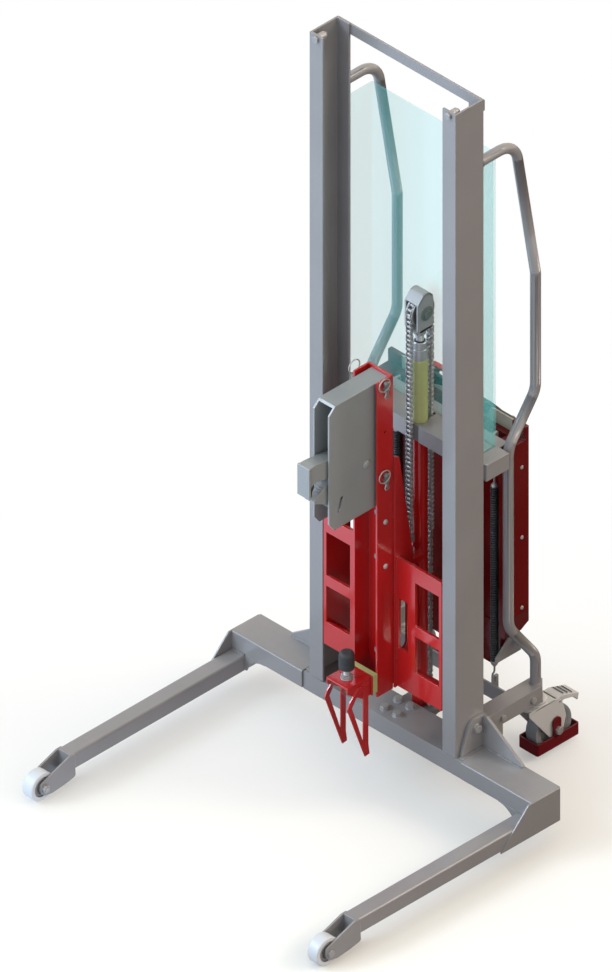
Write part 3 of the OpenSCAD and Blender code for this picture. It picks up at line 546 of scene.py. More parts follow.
    def hexhead(self, o, axis, af, h, washer=None, turn=0.0, shank=None):
        """A hex head or nut with chamfered corners, over an optional washer (radius, thickness)."""
        m = basis(o, AX[axis] if isinstance(axis, str) else axis)
        z0 = 0.0
        if washer:
            wr, wt = washer
            self.lathe([(0, 0), (wr - 0.4, 0), (wr, 0.4), (wr, wt - 0.5), (wr - 0.6, wt), (0, wt)], None, n=32, m=m)
            z0 = wt
        if shank:
            self.lathe([(0, -shank[1]), (shank[0] - 0.8, -shank[1]), (shank[0], -shank[1] + 0.8), (shank[0], z0 + 0.2), (0, z0 + 0.2)],
                       None, n=20, m=m)
        ra = af / 2
        rings = []
        t = [i * 10.0 for i in range(36)]
        big = [ra / math.cos(math.radians(((a + 30) % 60) - 30)) for a in t]

        def ring(rad, z):
            return [m @ Vector((rad[i] * math.cos(math.radians(t[i] + turn)), rad[i] * math.sin(math.radians(t[i] + turn)), z[i]))
                    for i in range(36)]
        rings.append(ring([b - 0.4 for b in big], [z0] * 36))
        rings.append(ring(big, [z0 + 0.4] * 36))
        rings.append(ring(big, [z0 + h - (b - ra * 0.95) * 0.6 - 0.1 for b in big]))
        rings.append(ring([ra * 0.93] * 36, [z0 + h] * 36))
        rings.append(ring([ra * 0.62] * 36, [z0 + h] * 36))
        rings.append(ring([ra * 0.56] * 36, [z0 + h - 0.3] * 36))
        return self.skin(rings)

    def thread(self, o, axis, r, length, pitch=1.75, n=20):
        prof = [(0, 0), (r - 0.8, 0)]
        k = int(length / pitch)
        for i in range(k):
            prof += [(r - 0.75, (i + 0.15) * pitch), (r, (i + 0.5) * pitch), (r - 0.05, (i + 0.62) * pitch), (r - 0.75, (i + 0.95) * pitch)]
        prof += [(r - 1.0, length), (0, length)]
        return self.lathe(prof, o, axis, n)

    def bead(self, a, b, r=2.2, pitch=2.6, n=8):
        """A rippled weld bead from a to b."""
        a, b = Vector(a), Vector(b)
        k = max(3, int((b - a).length / (pitch / 2)))
        pts = [a.lerp(b, i / k) for i in range(k + 1)]
        rad = [r * (0.55 if i in (0, k) else (1.0 if i % 2 else 0.86) * (1 + 0.10 * noise.noise(p * 0.21)))
               for i, p in enumerate(pts)]
        return self.tube(pts, r, n, False, rad)

    def plate(self, p, q, x0, x1, w=11.4, pin=2.6):
        """One chain side plate between the pins p and q, [Y, Z] each."""
        p, q = V2(p), V2(q)
        d = (q - p).normalized()
        s = Vector((-d.y, d.x))
        mid = (p + q) / 2
        out = []
        for i in range(7):
            a = math.radians(-100 + 200 * i / 6)
            out.append(q + (d * math.cos(a) + s * math.sin(a)) * w / 2)
        out.append(mid + s * w * 0.36)
        for i in range(7):
            a = math.radians(80 + 200 * i / 6)
            out.append(p + (d * math.cos(a) + s * math.sin(a)) * w / 2)
        out.append(mid - s * w * 0.36)
        return self.prism(out, x0, x1, "x", 0.3, seg=1)

    def mirrored(self):
        """The same faces with X turned over."""
        s = Shape()
        s.v = [Vector((-p.x, p.y, p.z)) for p in self.v]
        s.f, s.m, s.mats = [tuple(reversed(f)) for f in self.f], list(self.m), list(self.mats)
        return s

    def done(self, name, body, slot, replaces=(), smooth=38):
        me = bpy.data.meshes.new(name)
        me.from_pydata([((p.x) * MM, (p.y + OY) * MM, p.z * MM) for p in self.v], [], self.f)
        for mt in self.mats:
            me.materials.append(MAT[mt])
        me.polygons.foreach_set("material_index", self.m)
        bm = bmesh.new()
        bm.from_mesh(me)
        bmesh.ops.recalc_face_normals(bm, faces=bm.faces[:])
        bm.to_mesh(me)
        bm.free()
        for p in me.polygons:
            p.use_smooth = True
        me.set_sharp_from_angle(angle=math.radians(smooth))
        o = bpy.data.objects.new(name, me)
        bpy.context.scene.collection.objects.link(o)
        w = o.modifiers.new("normals", "WEIGHTED_NORMAL")
        w.keep_sharp = True
        w.weight = 60
        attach(o, body)
        if replaces:
            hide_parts(*replaces)
        return o


def arc(cy, cz, r, a0, a1, n=8):
    """Points of an arc in degrees, as outline points."""
    return [V2((cy + r * math.cos(math.radians(lerp(a0, a1, i / n))), cz + r * math.sin(math.radians(lerp(a0, a1, i / n)))))
            for i in range(n + 1)]


# ------------------------------------------------------------- CAD nodes that stay
def dress(node, bevel=0.8, seg=2, angle=32, mat=None):
    """A CAD node's own finish, with its edges rounded a little."""
    o = NODES[node]
    m = MAT[mat or SLOT[node]]
    o.data.materials.clear()
    o.data.materials.append(m)
    for p in o.data.polygons:
        p.material_index = 0
    w = o.modifiers.new("weld", "WELD")
    w.merge_threshold = 0.00002
    if bevel:
        d = o.modifiers.new("flat", "DECIMATE")
        d.decimate_type = "DISSOLVE"
        d.angle_limit = math.radians(0.8)
        b = o.modifiers.new("edge", "BEVEL")
        b.width = bevel * MM
        b.segments = seg
        b.limit_method = "ANGLE"
        b.angle_limit = math.radians(angle)
        b.harden_normals = True
        b.use_clamp_overlap = True


PLAIN = ("hood_shell", "hood_pan", "head_housing", "handle_left", "handle_right")
for node in NODES:
    dress(node, 0.8 if SLOT[node] in ("frame_grey", "jaw_grey", "carriage_red", "hood_red", "toe_red") and node not in PLAIN else 0)


# ------------------------------------------------------------- straddle base
def outrigger():
    s = Shape().mat("frame_grey")
    s.box((261, -5, 86.5), (492, 92, 135), 1.6, 3.0, axis="x")
    s.prism(rounded([(89, 41), (89, 133), (-13, 135), (-104, 45), (-106, 41)], [2, 2, 9, 3, 1]), 491.5, 496, "x", 1.0)
    s.prism([(384, 87.5), *arc(384, 24.5, 62, 90, 18.3, 14), (446.5, 44), (446.5, 87.5)], -5, 0, "y", 0.5)
    s.prism(rounded([(446, 42), (492, 42), (492, 86.5), (446, 86.5)], 6.0, 6), -574, 89, "y", 0.8)
    for x in (446, 487):
        cheek = rounded([(-566, 86.5), (-563, 26), (-568, 21.5), (-600, 15.5), (-640, 12), (-664, 16), (-675, 26), (-678, 38),
                         (-677, 51), (-672, 55), (-583, 86.5)], [1, 2, 3, 20, 20, 6, 6, 6, 4, 4, 2], 4)
        s.prism(cheek, x - (0.6 if x == 446 else 0), x + 5 + (0.6 if x == 487 else 0), "x", 1.1)
    s.box((447, -579, 30), (491, -574, 86.5), 1.0)
    s.prism(rounded([(249.5, 134), (249.5, 221), (261, 221), (381, 140), (381, 134)], [0, 2, 3, 3, 1]), 80, 88, "y", 0.9)
    s.prism([V2((12, 135)), V2((15, 150)), V2((33, 205)), V2((37, 213)), V2((45, 220)), V2((55, 222)), V2((90, 222)), V2((90, 135))],
            240, 250, "x", 1.2)
    s.box((245, 8, 133), (262, 90, 135.5), 0.4)
    s.mat("weld_grey")
    s.bead((448, -6.4, 87.4), (490, -6.4, 87.4), 2.2)
    s.bead((262, 79.2, 135.8), (379, 79.2, 135.8), 2.3)
    s.bead((251.2, 79.2, 138), (251.2, 79.2, 219), 2.1)
    s.bead((251.4, 14, 136.2), (251.4, 78, 136.2), 2.3)
    s.bead((262, -2, 134.6), (262, 90, 134.6), 1.6)
    s.bead((450.6, -573.4, 84.6), (487.4, -573.4, 84.6), 1.7)
    s.bead((492.6, -12, 132), (492.6, -100, 46.4), 1.3)
    s.bead((451.6, -580, 36), (451.6, -580, 84), 1.8)
    s.bead((486.4, -580, 36), (486.4, -580, 84), 1.8)
    return s


def leg_roller():
    s = Shape().mat("roller_white")
    o = (452, -664, 37.5)
    s.lathe([(26.5, 1.0), (33.5, 0.3), (36.0, 1.0), (37.2, 2.8), (37.5, 6), (37.5, 28), (37.2, 31.2), (36.0, 33.0),
             (33.5, 33.7), (26.5, 33.0)], o, "x", 64, True)
    s.mat("core_grey").lathe([(17.3, 5), (18.0, 3.2), (19.5, 2.6), (21.5, 4.2), (24.5, 4.2), (26.0, 2.2), (26.8, 2.2), (26.8, 31.8),
                              (26.0, 31.8), (24.5, 29.8), (21.5, 29.8), (19.5, 31.4), (18.0, 30.8), (17.3, 29)], o, "x", 64, True)
    bearings(s, o, "x", ((5, 1), (29, -1)), 17.3, 6.2)
    return s


def bearings(s, o, axis, ends, ro, ri):
    """Open ball bearings: two races and their balls, at each end."""
    m0 = basis(o, AX[axis])
    mid = (ro + ri + 3.0) / 2
    for h, sg in ends:
        s.mat("bearing_steel")
        z = sorted((h, h + sg * 9.0))
        s.lathe([(mid + 2.0, z[0] + 0.3), (ro - 0.5, z[0]), (ro, z[0] + 0.5), (ro, z[1] - 0.5), (ro - 0.5, z[1]), (mid + 2.0, z[1] - 0.3)],
                None, n=48, wrap=True, m=m0)
        s.lathe([(ri, z[0] + 0.4), (ri + 0.5, z[0]), (mid - 2.0, z[0] + 0.3), (mid - 2.0, z[1] - 0.3), (ri + 0.5, z[1]), (ri, z[1] - 0.4)],
                None, n=48, wrap=True, m=m0)
        # a black ring between the races, painted shade in the gap behind the balls
        s.mat("dark_gap").lathe([(mid - 2.2, z[0] + 3.8), (mid + 2.2, z[0] + 3.8), (mid + 2.2, z[0] + 5.2), (mid - 2.2, z[0] + 5.2)],
                                None, n=36, wrap=True, m=m0)
        s.mat("bearing_steel")
        c = h + sg * 2.6
        for i in range(9):
            a = TAU * i / 9
            b = m0 @ Matrix.Translation((mid * math.cos(a), mid * math.sin(a), c))
            s.lathe([(0, -2.1), (1.15, -1.75), (1.9, -0.9), (2.1, 0), (1.9, 0.9), (1.15, 1.75), (0, 2.1)], None, n=12, m=b)


for side, sg in (("right", 1), ("left", -1)):
    q = outrigger()
    (q if sg > 0 else q.mirrored()).done("straddle_leg_" + side, "chassis", "frame_grey", ["outrigger_" + side])
    q = leg_roller()
    (q if sg > 0 else q.mirrored()).done("load_roller_" + side, "leg_roller_" + side, "roller_white", ["leg_roller_" + side])


# ------------------------------------------------------------- bolts
def bolts():
    s = Shape().mat("zinc")
    for x in (-20, 20):
        for y in (28, 72):
            s.hexhead((x, y, 133), "z", 19, 7.5, (13, 2), 12 * x + y)
    for sg in (-1, 1):
        ax = "x" if sg > 0 else "-x"
        s.hexhead((sg * 250, 59, 196), ax, 19, 8, (12, 2), 9)
        s.mat("hook_zinc")
        s.hexhead((sg * 218, 0, 1953), "-y", 17, 6.5, None, 12)
        s.thread((sg * 218, 26, 1953), "y", 6, 6)
        s.lathe([(6.2, 0), (9.6, 0), (10, 0.5), (10, 19.5), (9.6, 20), (6.2, 20)], (sg * 218, 6, 1953), "y", 32, True)
        s.mat("zinc")
        for y in (146, 245):
            s.hexhead((sg * 250, y, 182), ax, 15, 6, None, 17 + y)
        s.hexhead((sg * 492.5, -664, 37.5), ax, 17, 6.5, None, 8)
        s.hexhead((sg * 445.5, -664, 37.5), "-x" if sg > 0 else "x", 18, 7.5, None, 20)
        s.thread((sg * 438, -664, 37.5), "-x" if sg > 0 else "x", 5.8, 3.0)
        s.lathe([(0, 0), (6, 0), (6, 46), (0, 46)], (min(sg * 446, sg * 492), -664, 37.5), "x", 20)
    return s


bolts().done("frame_bolts", "chassis", "zinc", ["hex_bolts"])


# ------------------------------------------------------------- springs
def springs():
    s = Shape()
    for sg in (-1, 1):
        cx, cy = sg * 160.0, 208.0
        s.mat("spring_black")
        turns, z0, z1 = 74, 266.0, 766.0
        n = turns * 12
        s.tube([(cx + 7.6 * math.cos(TAU * i / 12), cy + 7.6 * math.sin(TAU * i / 12), lerp(z0, z1, i / n)) for i in range(n + 1)], 2.35, 7)
        # a dark core inside the coil, painted shade where the coil is hollow
        s.mat("dark_gap").lathe([(0, z0), (5.4, z0), (5.4, z1), (0, z1)], (cx, cy, 0), "z", 16)
        s.mat("hook_zinc")
        s.lathe([(0, 762), (7.0, 762), (8.6, 764), (8.6, 769), (5.5, 773), (3.2, 775), (0, 775)], (cx, cy, 0), "z", 24)
        s.lathe([(0, 254), (3.2, 254), (5.5, 256), (8.6, 261), (8.6, 268), (7.0, 270), (0, 270)], (cx, cy, 0), "z", 24)
        s.tube([(cx, cy, 772), (cx, cy, 868), (cx, cy, 876), (cx + 3, cy, 883), (cx + 6, cy, 889), (cx + 6.6, cy, 896), (cx + 4, cy, 902.0),
                (cx, cy, 903.6), (cx - 4, cy, 902.0), (cx - 6.4, cy, 897), (cx - 6.4, cy, 890)], 2.4, 10)
        s.tube([(cx, cy, 258), (cx, cy, 240), (cx - 2, cy, 234), (cx - 5.6, cy, 228), (cx - 6.6, cy, 220), (cx - 5, cy, 213.5),
                (cx, cy, 211.4), (cx + 5, cy, 213.5), (cx + 6.6, cy, 219), (cx + 6.8, cy, 228)], 2.5, 10)
    return s


springs().done("lift_springs", "chassis", "black_steel", ["tension_springs"])


# ------------------------------------------------------------- chain, sheave, yoke, cylinder
CY, SZ, SR = 122.6, 1231.0, 34.0
FY, RY, PITCH = CY - SR, CY + SR, 12.7


def link_run(s, pts, sets, pins, i0=0):
    """Side plates between neighbouring pins; sets[k] is the plates' [x0, x1] on every other link."""
    for i in range(len(pts) - 1):
        s.mat("chain_steel")
        for x0, x1 in sets[(i + i0) % 2]:
            s.plate(pts[i], pts[i + 1], x0, x1)
    s.mat("chain_pin")
    for p in pts:
        for x0, x1 in pins:
            s.lathe([(0, x0), (2.0, x0), (2.5, x0 + 0.4), (2.5, x1 - 0.4), (2.0, x1), (0, x1)], (0, p[0], p[1]), "x", 10)


OUTER = [[-8.0, -6.5], [6.5, 8.0]]
INNER = [[-6.2, -4.8], [4.8, 6.2]]


def rollers(s, pts):
    """Turning rollers between the inner plates."""
    s.mat("chain_roller")
    for p in pts:
        s.lathe([(2.6, -4.6), (3.9, -4.6), (4.2, -4.3), (4.2, 4.3), (3.9, 4.6), (2.6, 4.6)], (0, p[0], p[1]), "x", 14, True)


s = Shape()
top = SZ - 0.3 - 6.0
k = 48
front = [V2((FY, 606 + (top - 606) * i / k)) for i in range(k + 1)]
link_run(s, front[:2], [[[-4.4, -2.0], [2.0, 4.4]]] * 2, [[-4.6, 4.6]])
link_run(s, front[1:], [OUTER, INNER], [[-8.4, 8.4]])
rollers(s, front[2:])
o = s.done("front_chain", "carriage", "chain_steel", ["chain_front_strand"])
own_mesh(o)

s = Shape()
k = 80
back = [V2((RY, 160 + 1024.0 * i / k)) for i in range(k + 1)]
link_run(s, back, [[[-4.0, -2.2], [2.2, 4.0]], [[-1.9, 1.9]]], [[-4.0, 4.0]])
s.mat("zinc").box((-9, 149, 140), (9, 164, 153), 1.2)
for x in (-9, 5.2):
    s.box((x, 150, 148), (x + 3.8, 163, 164), 1.0)
s.lathe([(0, -11), (3, -11), (3, 11), (0, 11)], (0, RY, 160), "x", 14)
s.thread((0, 156.6, 94), "z", 4.5, 46, 1.5)
s.hexhead((0, 156.6, 112.2), "z", 13, 6.5, None, 11)
s.hexhead((0, 156.6, 99.8), "-z", 13, 5.2, None, 25)
s.done("fixed_chain", "chassis", "chain_steel", ["chain_fixed_strand"])

s = Shape()
k = 50
back = [V2((RY, 596 + (SZ - 596) * i / k)) for i in range(k + 1)]
PAIR = [[[-8.0, -6.3], [6.3, 8.0]], [[-6.1, -4.5], [4.5, 6.1]]]
link_run(s, back, PAIR, [[-8.4, -4.5], [4.5, 8.4]])
wrap = [V2((CY + SR * math.cos(math.pi * i / 8), SZ + SR * math.sin(math.pi * i / 8))) for i in range(9)]
link_run(s, wrap, [OUTER, INNER], [[-8.4, 8.4]], k % 2)
rollers(s, wrap[1:])
s.done("travelling_chain", "lift_rod", "chain_steel", ["chain_rear_strand"])

s = Shape().mat("sheave_steel")
o = (-12, CY, SZ)
s.lathe([(26.5, 3.0), (36.2, 0), (37.5, 1.0), (37.5, 2.4), (36.6, 3.4), (27.7, 3.6), (27.7, 20.4), (36.6, 20.6), (37.5, 21.6), (37.5, 23.0),
         (36.2, 24), (26.5, 21.0)], o, "x", 72, True)
s.prism(circle(CY, SZ, 27.0, 48), -8.0, 8.0, "x", 0.6,
        [circle(CY, SZ, 13.2, 32)] + [circle(CY + 20 * math.cos(a), SZ + 20 * math.sin(a), 4, 16) for a in [TAU * i / 6 for i in range(6)]])
s.mat("brass").lathe([(9.1, 0.6), (12.6, 0.2), (13.4, 0.8), (13.4, 23.2), (12.6, 23.8), (9.1, 23.4)], o, "x", 40, True)
s.done("chain_wheel", "chain_sheave", "chain_steel", ["sheave"])

s = Shape().mat("yoke_grey")
cheek = rounded([(94, 1190), (100, 1183), (140, 1183), (146, 1196), (146, 1262), (144, 1274), (136, 1283), (124, 1287.5),
                 (112, 1284), (94, 1264)], 6, 3)
for x in (-22, 17):
    s.prism(cheek, x, x + 5, "x", 0.9)
s.prism([V2(p) for p in [(94.2, 1264), (112, 1284), (124, 1287.5), (136, 1283), (144, 1274), (141, 1271.5), (134.5, 1279.5),
                         (123.8, 1283.8), (114, 1280.5), (97.5, 1263)]], -22, 22, "x", 0.6)
s.box((-22, 100, 1183), (22, 145, 1190), 1.0)
s.mat("zinc").lathe([(0, 1165.4), (14.2, 1165.4), (15, 1166.4), (15, 1182), (13.5, 1184.5), (0, 1184.5)], (0, CY, 0), "z", 36)
s.lathe([(0, -27), (8, -27), (9, -26), (9, 29), (8, 30), (0, 30)], (0, CY, SZ), "x", 28)
s.mat("pin_steel").lathe([(9.2, 22), (18.6, 22), (19, 22.5), (19, 24.0), (18.4, 24.6), (9.2, 24.6)], (0, CY, SZ), "x", 40, True)
s.hexhead((24.6, CY, SZ), "x", 20, 4.6, (14, 1.2), 8)
s.mat("weld_grey")
for y in (99.4, 145.4):
    s.bead((-17, y, 1190.6), (17, y, 1190.6), 1.6)
s.done("sheave_bracket", "lift_rod", "jaw_grey", ["sheave_yoke"])

s = Shape().mat("cylinder_olive")
s.lathe([(14, 890), (18.5, 890), (19, 890.6), (19, 1092.8), (18.4, 1094), (14, 1094)], (0, CY, 0), "z", 48, True)
s.mat("gland_steel")
s.lathe([(14, 1093.6), (17.6, 1093.6), (18, 1094.4), (18, 1123.4), (17.4, 1124), (14, 1124)], (0, CY, 0), "z", 48, True)
s.lathe([(10.1, 1120), (15.4, 1120), (15.4, 1124.6), (16, 1125.2), (16, 1142.6), (14.6, 1144), (10.1, 1144)], (0, CY, 0), "z", 40, True)
s.mat("black_rubber").lathe([(10.1, 1143.6), (13.2, 1143.6), (12.6, 1145.6), (10.4, 1146.6)], (0, CY, 0), "z", 36, True)
s.mat("cylinder_olive")
s.bead((13.6, CY - 13.4, 905), (13.6, CY - 13.4, 905.2), 0.2)
s.done("cylinder_upper", "chassis", "cylinder_olive", ["cylinder_sleeve"])

s = Shape().mat("carriage_red")
s.lathe([(14, 112.2), (18, 112.2), (19, 113.2), (19, 888.6), (18.4, 889.6), (14, 889.6)], (0, CY, 0), "z", 48, True)
s.lathe([(3.4, 17.5), (8, 17.5), (8, 31), (7.4, 32), (3.4, 32)], (0, CY, 130), "x", 28, True)
s.mat("weld_red")
for z, r in ((112.4, 2.0), (158, 1.3), (886.6, 1.2)):
    s.ring((0, CY, z + 1), "z", 19.2, r, 44, 8)
s.ring((19.0, CY, 130), "x", 8.4, 1.3, 28, 8)
s.done("cylinder_lower", "chassis", "carriage_red", ["cylinder_barrel"])


def bend_path(pts, radius, step=8):
    """A polyline with its corners turned into arcs."""
    out = [Vector(pts[0])]
    for i in range(1, len(pts) - 1):
        a, p, b = Vector(pts[i - 1]), Vector(pts[i]), Vector(pts[i + 1])
        u, w = (a - p).normalized(), (b - p).normalized()
        ang = u.angle(w)
        t = radius / math.tan(ang / 2)
        for k in range(step + 1):
            f = k / step
            q = (p + u * t).lerp(p, f).lerp(p.lerp(p + w * t, f), f)
            out.append(q)
    out.append(Vector(pts[-1]))
    return out


s = Shape().mat("zinc")
s.lathe([(0, 31.6), (6.6, 31.6), (7, 32.2), (7, 33.5), (0, 33.5)], (0, CY, 130), "x", 28)
s.lathe([(4.0, 33.4), (9.4, 33.4), (10, 34.2), (10, 42.8), (9.4, 43.6), (4.0, 43.6)], (0, CY, 130), "x", 36, True)
s.hexhead((43.6, CY, 130), "x", 13, 5.0, None, 14)
s.lathe([(0, 8), (5.2, 8), (5.2, 16), (6.4, 16.4), (6.4, 30), (5.6, 31), (0, 31)], (38.5, CY, 130), "y", 24)
s.hexhead((50, 240, 282), "z", 14, 11, None, 3)
s.mat("black_rubber").tube(bend_path([(38.5, CY + 29, 130), (42, 160, 130), (50, 240, 130), (50, 240, 284)], 22), 4.9, 14)
s.done("pressure_hose", "chassis", "black_rubber", ["hydraulic_pipe"])


# ------------------------------------------------------------- casters
CX, KY, WY, WZ = 222.0, 283.0, 324.0, 60.0


def caster_fork():
    s = Shape().mat("fork_zinc")
    cheek = rounded([(236, 145), (236, 134), (304, 44), (316, 36), (334, 36), (350, 54), (357, 84), (352, 104), (345, 128),
                     (337, 139), (322, 145)], [2, 5, 16, 10, 10, 12, 20, 16, 12, 6, 4], 5)
    for x in (CX - 25, CX + 22):
        s.prism(cheek, x, x + 3, "x", 0.8)
        # pressed collar round the axle
        a = x + (3 if x > CX else -1.6)
        s.lathe([(6.2, a), (11.0, a), (12.4, a + 0.4), (12.4, a + 1.2), (11.0, a + 1.6), (6.2, a + 1.6)], (0, WY, WZ), "x", 32, True)
    s.prism(rounded([(CX - 25, 236), (CX + 25, 236), (CX + 25, 322), (CX - 25, 322)], [20, 20, 3, 3], 8), 140.6, 145.4, "z", 1.4)
    # swivel head: two pressed races with a ball gap and a dust lip; the gap is a black ring of painted shade
    s.lathe([(8, 145), (25.2, 145), (26, 145.8), (26, 147.4), (24.6, 148.8), (23, 149.2), (23, 150.6), (25.4, 151), (26, 152),
             (26, 155.2), (24.4, 157.6), (20, 159.3), (12, 159.7), (8, 159.7)], (CX, KY, 0), "z", 48, True)
    s.mat("dark_gap").lathe([(22.6, 149.0), (23.4, 149.0), (23.4, 150.8), (22.6, 150.8)], (CX, KY, 0), "z", 40, True)
    s.mat("zinc")
    s.lathe([(0, 141), (7.0, 141), (7.95, 142), (7.95, 166.2), (0, 166.2)], (CX, KY, 0), "z", 28)
    s.hexhead((CX, KY, 166.4), "z", 19, 9.5, None, 9)
    s.thread((CX, KY, 175.6), "z", 7.9, 8.4)
    s.lathe([(0, -27), (2.6, -27), (3, -26.4), (3, 26.4), (2.6, 27), (0, 27)], (CX, 337, 132), "x", 16)
    s.lathe([(0, -36), (6, -36), (6, 36), (0, 36)], (CX, WY, WZ), "x", 20)
    s.hexhead((CX + 32, WY, WZ), "x", 19, 8, None, 4)
    s.hexhead((CX - 32, WY, WZ), "-x", 19, 8, None, 22)
    return s


def toe_guard():
    s = Shape().mat("toe_red")
    outer = rounded([(CX - 32, 256), (CX + 32, 256), (CX + 32, 394), (CX - 32, 394)], 6, 5)
    inner = rounded([(CX - 28, 260), (CX + 28, 260), (CX + 28, 390), (CX - 28, 390)], 2.5, 4)
    s.prism(outer, 15, 47, "z", 0.9, [inner])
    for x in (CX - 32, CX + 28.1):
        s.prism([V2((335, 42)), *arc(322, 84, 13, 0, 180, 12), V2((309, 42))], x, x + 3.9, "x", 0.8)
    for x in (CX - 28, CX + 25.2):
        s.mat("zinc").lathe([(6.2, x), (9.6, x), (10, x + 0.4), (10, x + 2.4), (9.6, x + 2.8), (6.2, x + 2.8)], (0, WY, WZ), "x", 28, True)
    s.mat("weld_toe")
    for x in (CX - 29.4, CX + 29.4):
        s.bead((x - 1.9 if x < CX else x + 1.9, 310, 46.6), (x - 1.9 if x < CX else x + 1.9, 334, 46.6), 0.6, 2.0, 6)
    return s


def caster_wheel():
    s = Shape().mat("caster_tyre")
    o = (CX - 19, WY, WZ)
    s.lathe([(45.5, 3.2), (52, 1.6), (56.5, 1.2), (58.8, 2.4), (59.8, 5), (60, 9), (60, 29), (59.8, 33), (58.8, 35.6), (56.5, 36.8),
             (52, 36.4), (45.5, 34.8)], o, "x", 88, True)
    s.mat("caster_core").lathe([(16, 7.0), (19.5, 5.2), (23, 9.0), (38, 9.4), (42.5, 4.4), (46, 3.8), (46, 34.2), (42.5, 33.6), (38, 28.6),
                                (23, 29.0), (19.5, 32.8), (16, 31.0)], o, "x", 72, True)
    for h, sg in ((8.0, 1), (30.0, -1)):
        for i in range(6):
            a = TAU * i / 6
            m = basis(o, AX["x"]) @ Matrix.Rotation(a, 4, "Z")
            z = (5.8, 9.6) if sg > 0 else (28.4, 32.2)
            s.prism([V2((20, -2.2)), V2((42, -1.6)), V2((42, 1.6)), V2((20, 2.2))], z[0], z[1], "z", 0.6, m=m)
    bearings(s, o, "x", ((5.4, 1), (32.6, -1)), 16, 6.2)
    return s


def brake_pedal():
    s = Shape().mat("fork_zinc")
    top = [(330, 141), (345, 142.5), (352, 140.4), (353, 141.8), (357, 140.4), (357.6, 138.4), (366, 135.4), (367, 137), (371, 135.6),
           (371.6, 133.4), (380, 130.4), (381, 132), (385, 130.6), (385.6, 128.4), (399.5, 123.6), (401.5, 121.5), (400, 119),
           (344, 138), (330, 137)]
    s.prism([V2(p) for p in top], CX - 20.9, CX + 20.9, "x", 0.6, seg=1)
    for x in (CX - 22.4, CX + 19.4):
        s.prism(rounded([(330, 141.5), (345, 143), (401.5, 123.6), (398, 106), (384, 120), (352, 128), (342, 123), (331, 126)],
                        [4, 3, 3, 3, 8, 8, 3, 3], 4), x, x + 3, "x", 0.8)
    s.prism(rounded([(397.6, 124.6), (401.5, 123), (398.4, 105), (395, 106.4)], 0.8, 2), CX - 22.2, CX + 22.2, "x", 0.8)
    s.mat("black_rubber")
    for y, z in ((355.2, 141.4), (369.2, 136.6), (383.2, 131.6)):
        s.tube([(CX - 17, y, z), (CX + 17, y, z)], 1.5, 8)
    return s


for side, sg in (("right", 1), ("left", -1)):
    for make, name, body, slot, node in ((caster_fork, "caster_frame_", "caster_", "jaw_grey", "caster_fork_"),
                                         (toe_guard, "foot_guard_", "caster_", "toe_red", "toe_guard_"),
                                         (caster_wheel, "rear_wheel_", "caster_wheel_", "caster_tyre", "caster_wheel_"),
                                         (brake_pedal, "brake_lever_", "brake_", "jaw_grey", "brake_pedal_")):
        q = make()
        (q if sg > 0 else q.mirrored()).done(name + side, body + side, slot, [node + side])


# ------------------------------------------------------------- gripper
s = Shape().mat("jaw_grey")
body = rounded([(-256, 975), (-256, 916), (-246, 922), (-236, 925), (-224, 924), (-200, 917), (-150, 906), (-100, 887), (-80, 885),
                (-62, 898), (-63, 920), (-100, 944), (-150, 962), (-202, 971), (-240, 975)],
               [1, 2, 6, 8, 12, 20, 40, 12, 14, 14, 14, 30, 40, 20, 6], 4)
s.prism(body, -18, 18, "x", 1.6, [circle(-80, 905, 8.1, 28)])
s.prism(rounded([(-261, 975), (-261, 888), (-255, 888), (-255, 975)], [2.5, 1, 1, 0.5], 3), -20, 20, "x", 1.0)
s.mat("weld_grey")
for x in (-18.6, 18.6):
    s.bead((x, -254.4, 918), (x, -254.4, 972), 1.5)
s.done("upper_claw", "upper_jaw", "jaw_grey", ["upper_jaw"])

s = Shape().mat("black_rubber")
s.prism([V2(p) for p in [(-255, 888), (-255, 914.6), (-246, 920.8), (-240.4, 922.4), (-240.4, 912), (-246, 904), (-249, 888)]],
        -16, 16, "x", 0.8, seg=1)
for i in range(9):
    z = 889.5 + i * 1.9
    s.tube([(-15, -248.6 + i * 0.33, z), (15, -248.6 + i * 0.33, z)], 0.8, 6)
s.done("claw_pad", "upper_jaw", "black_rubber", ["jaw_pad"])

s = Shape().mat("jaw_grey")
s.prism(rounded([(-192, 908), (-234, 880), (-243, 872), (-238, 864), (-206, 850), (-184, 822), (-166, 812), (-150, 826), (-150, 856),
                 (-168, 892), (-180, 906)], [4, 3, 3, 3, 14, 14, 8, 8, 10, 14, 8], 4), -18, 18, "x", 1.4)
for i in range(6):
    y, z = -241.0 + i * 5.6, 872.6 + i * 4.5
    s.tube([(-16, y, z), (16, y, z)], 1.1, 6)
s.mat("black_steel").lathe([(0, -26.6), (3.5, -26.6), (3.95, -26), (3.95, 26), (3.5, 26.6), (0, 26.6)], (0, -161, 850), "x", 20)
s.done("lower_claw", "lower_jaw", "jaw_grey", ["lower_jaw"])

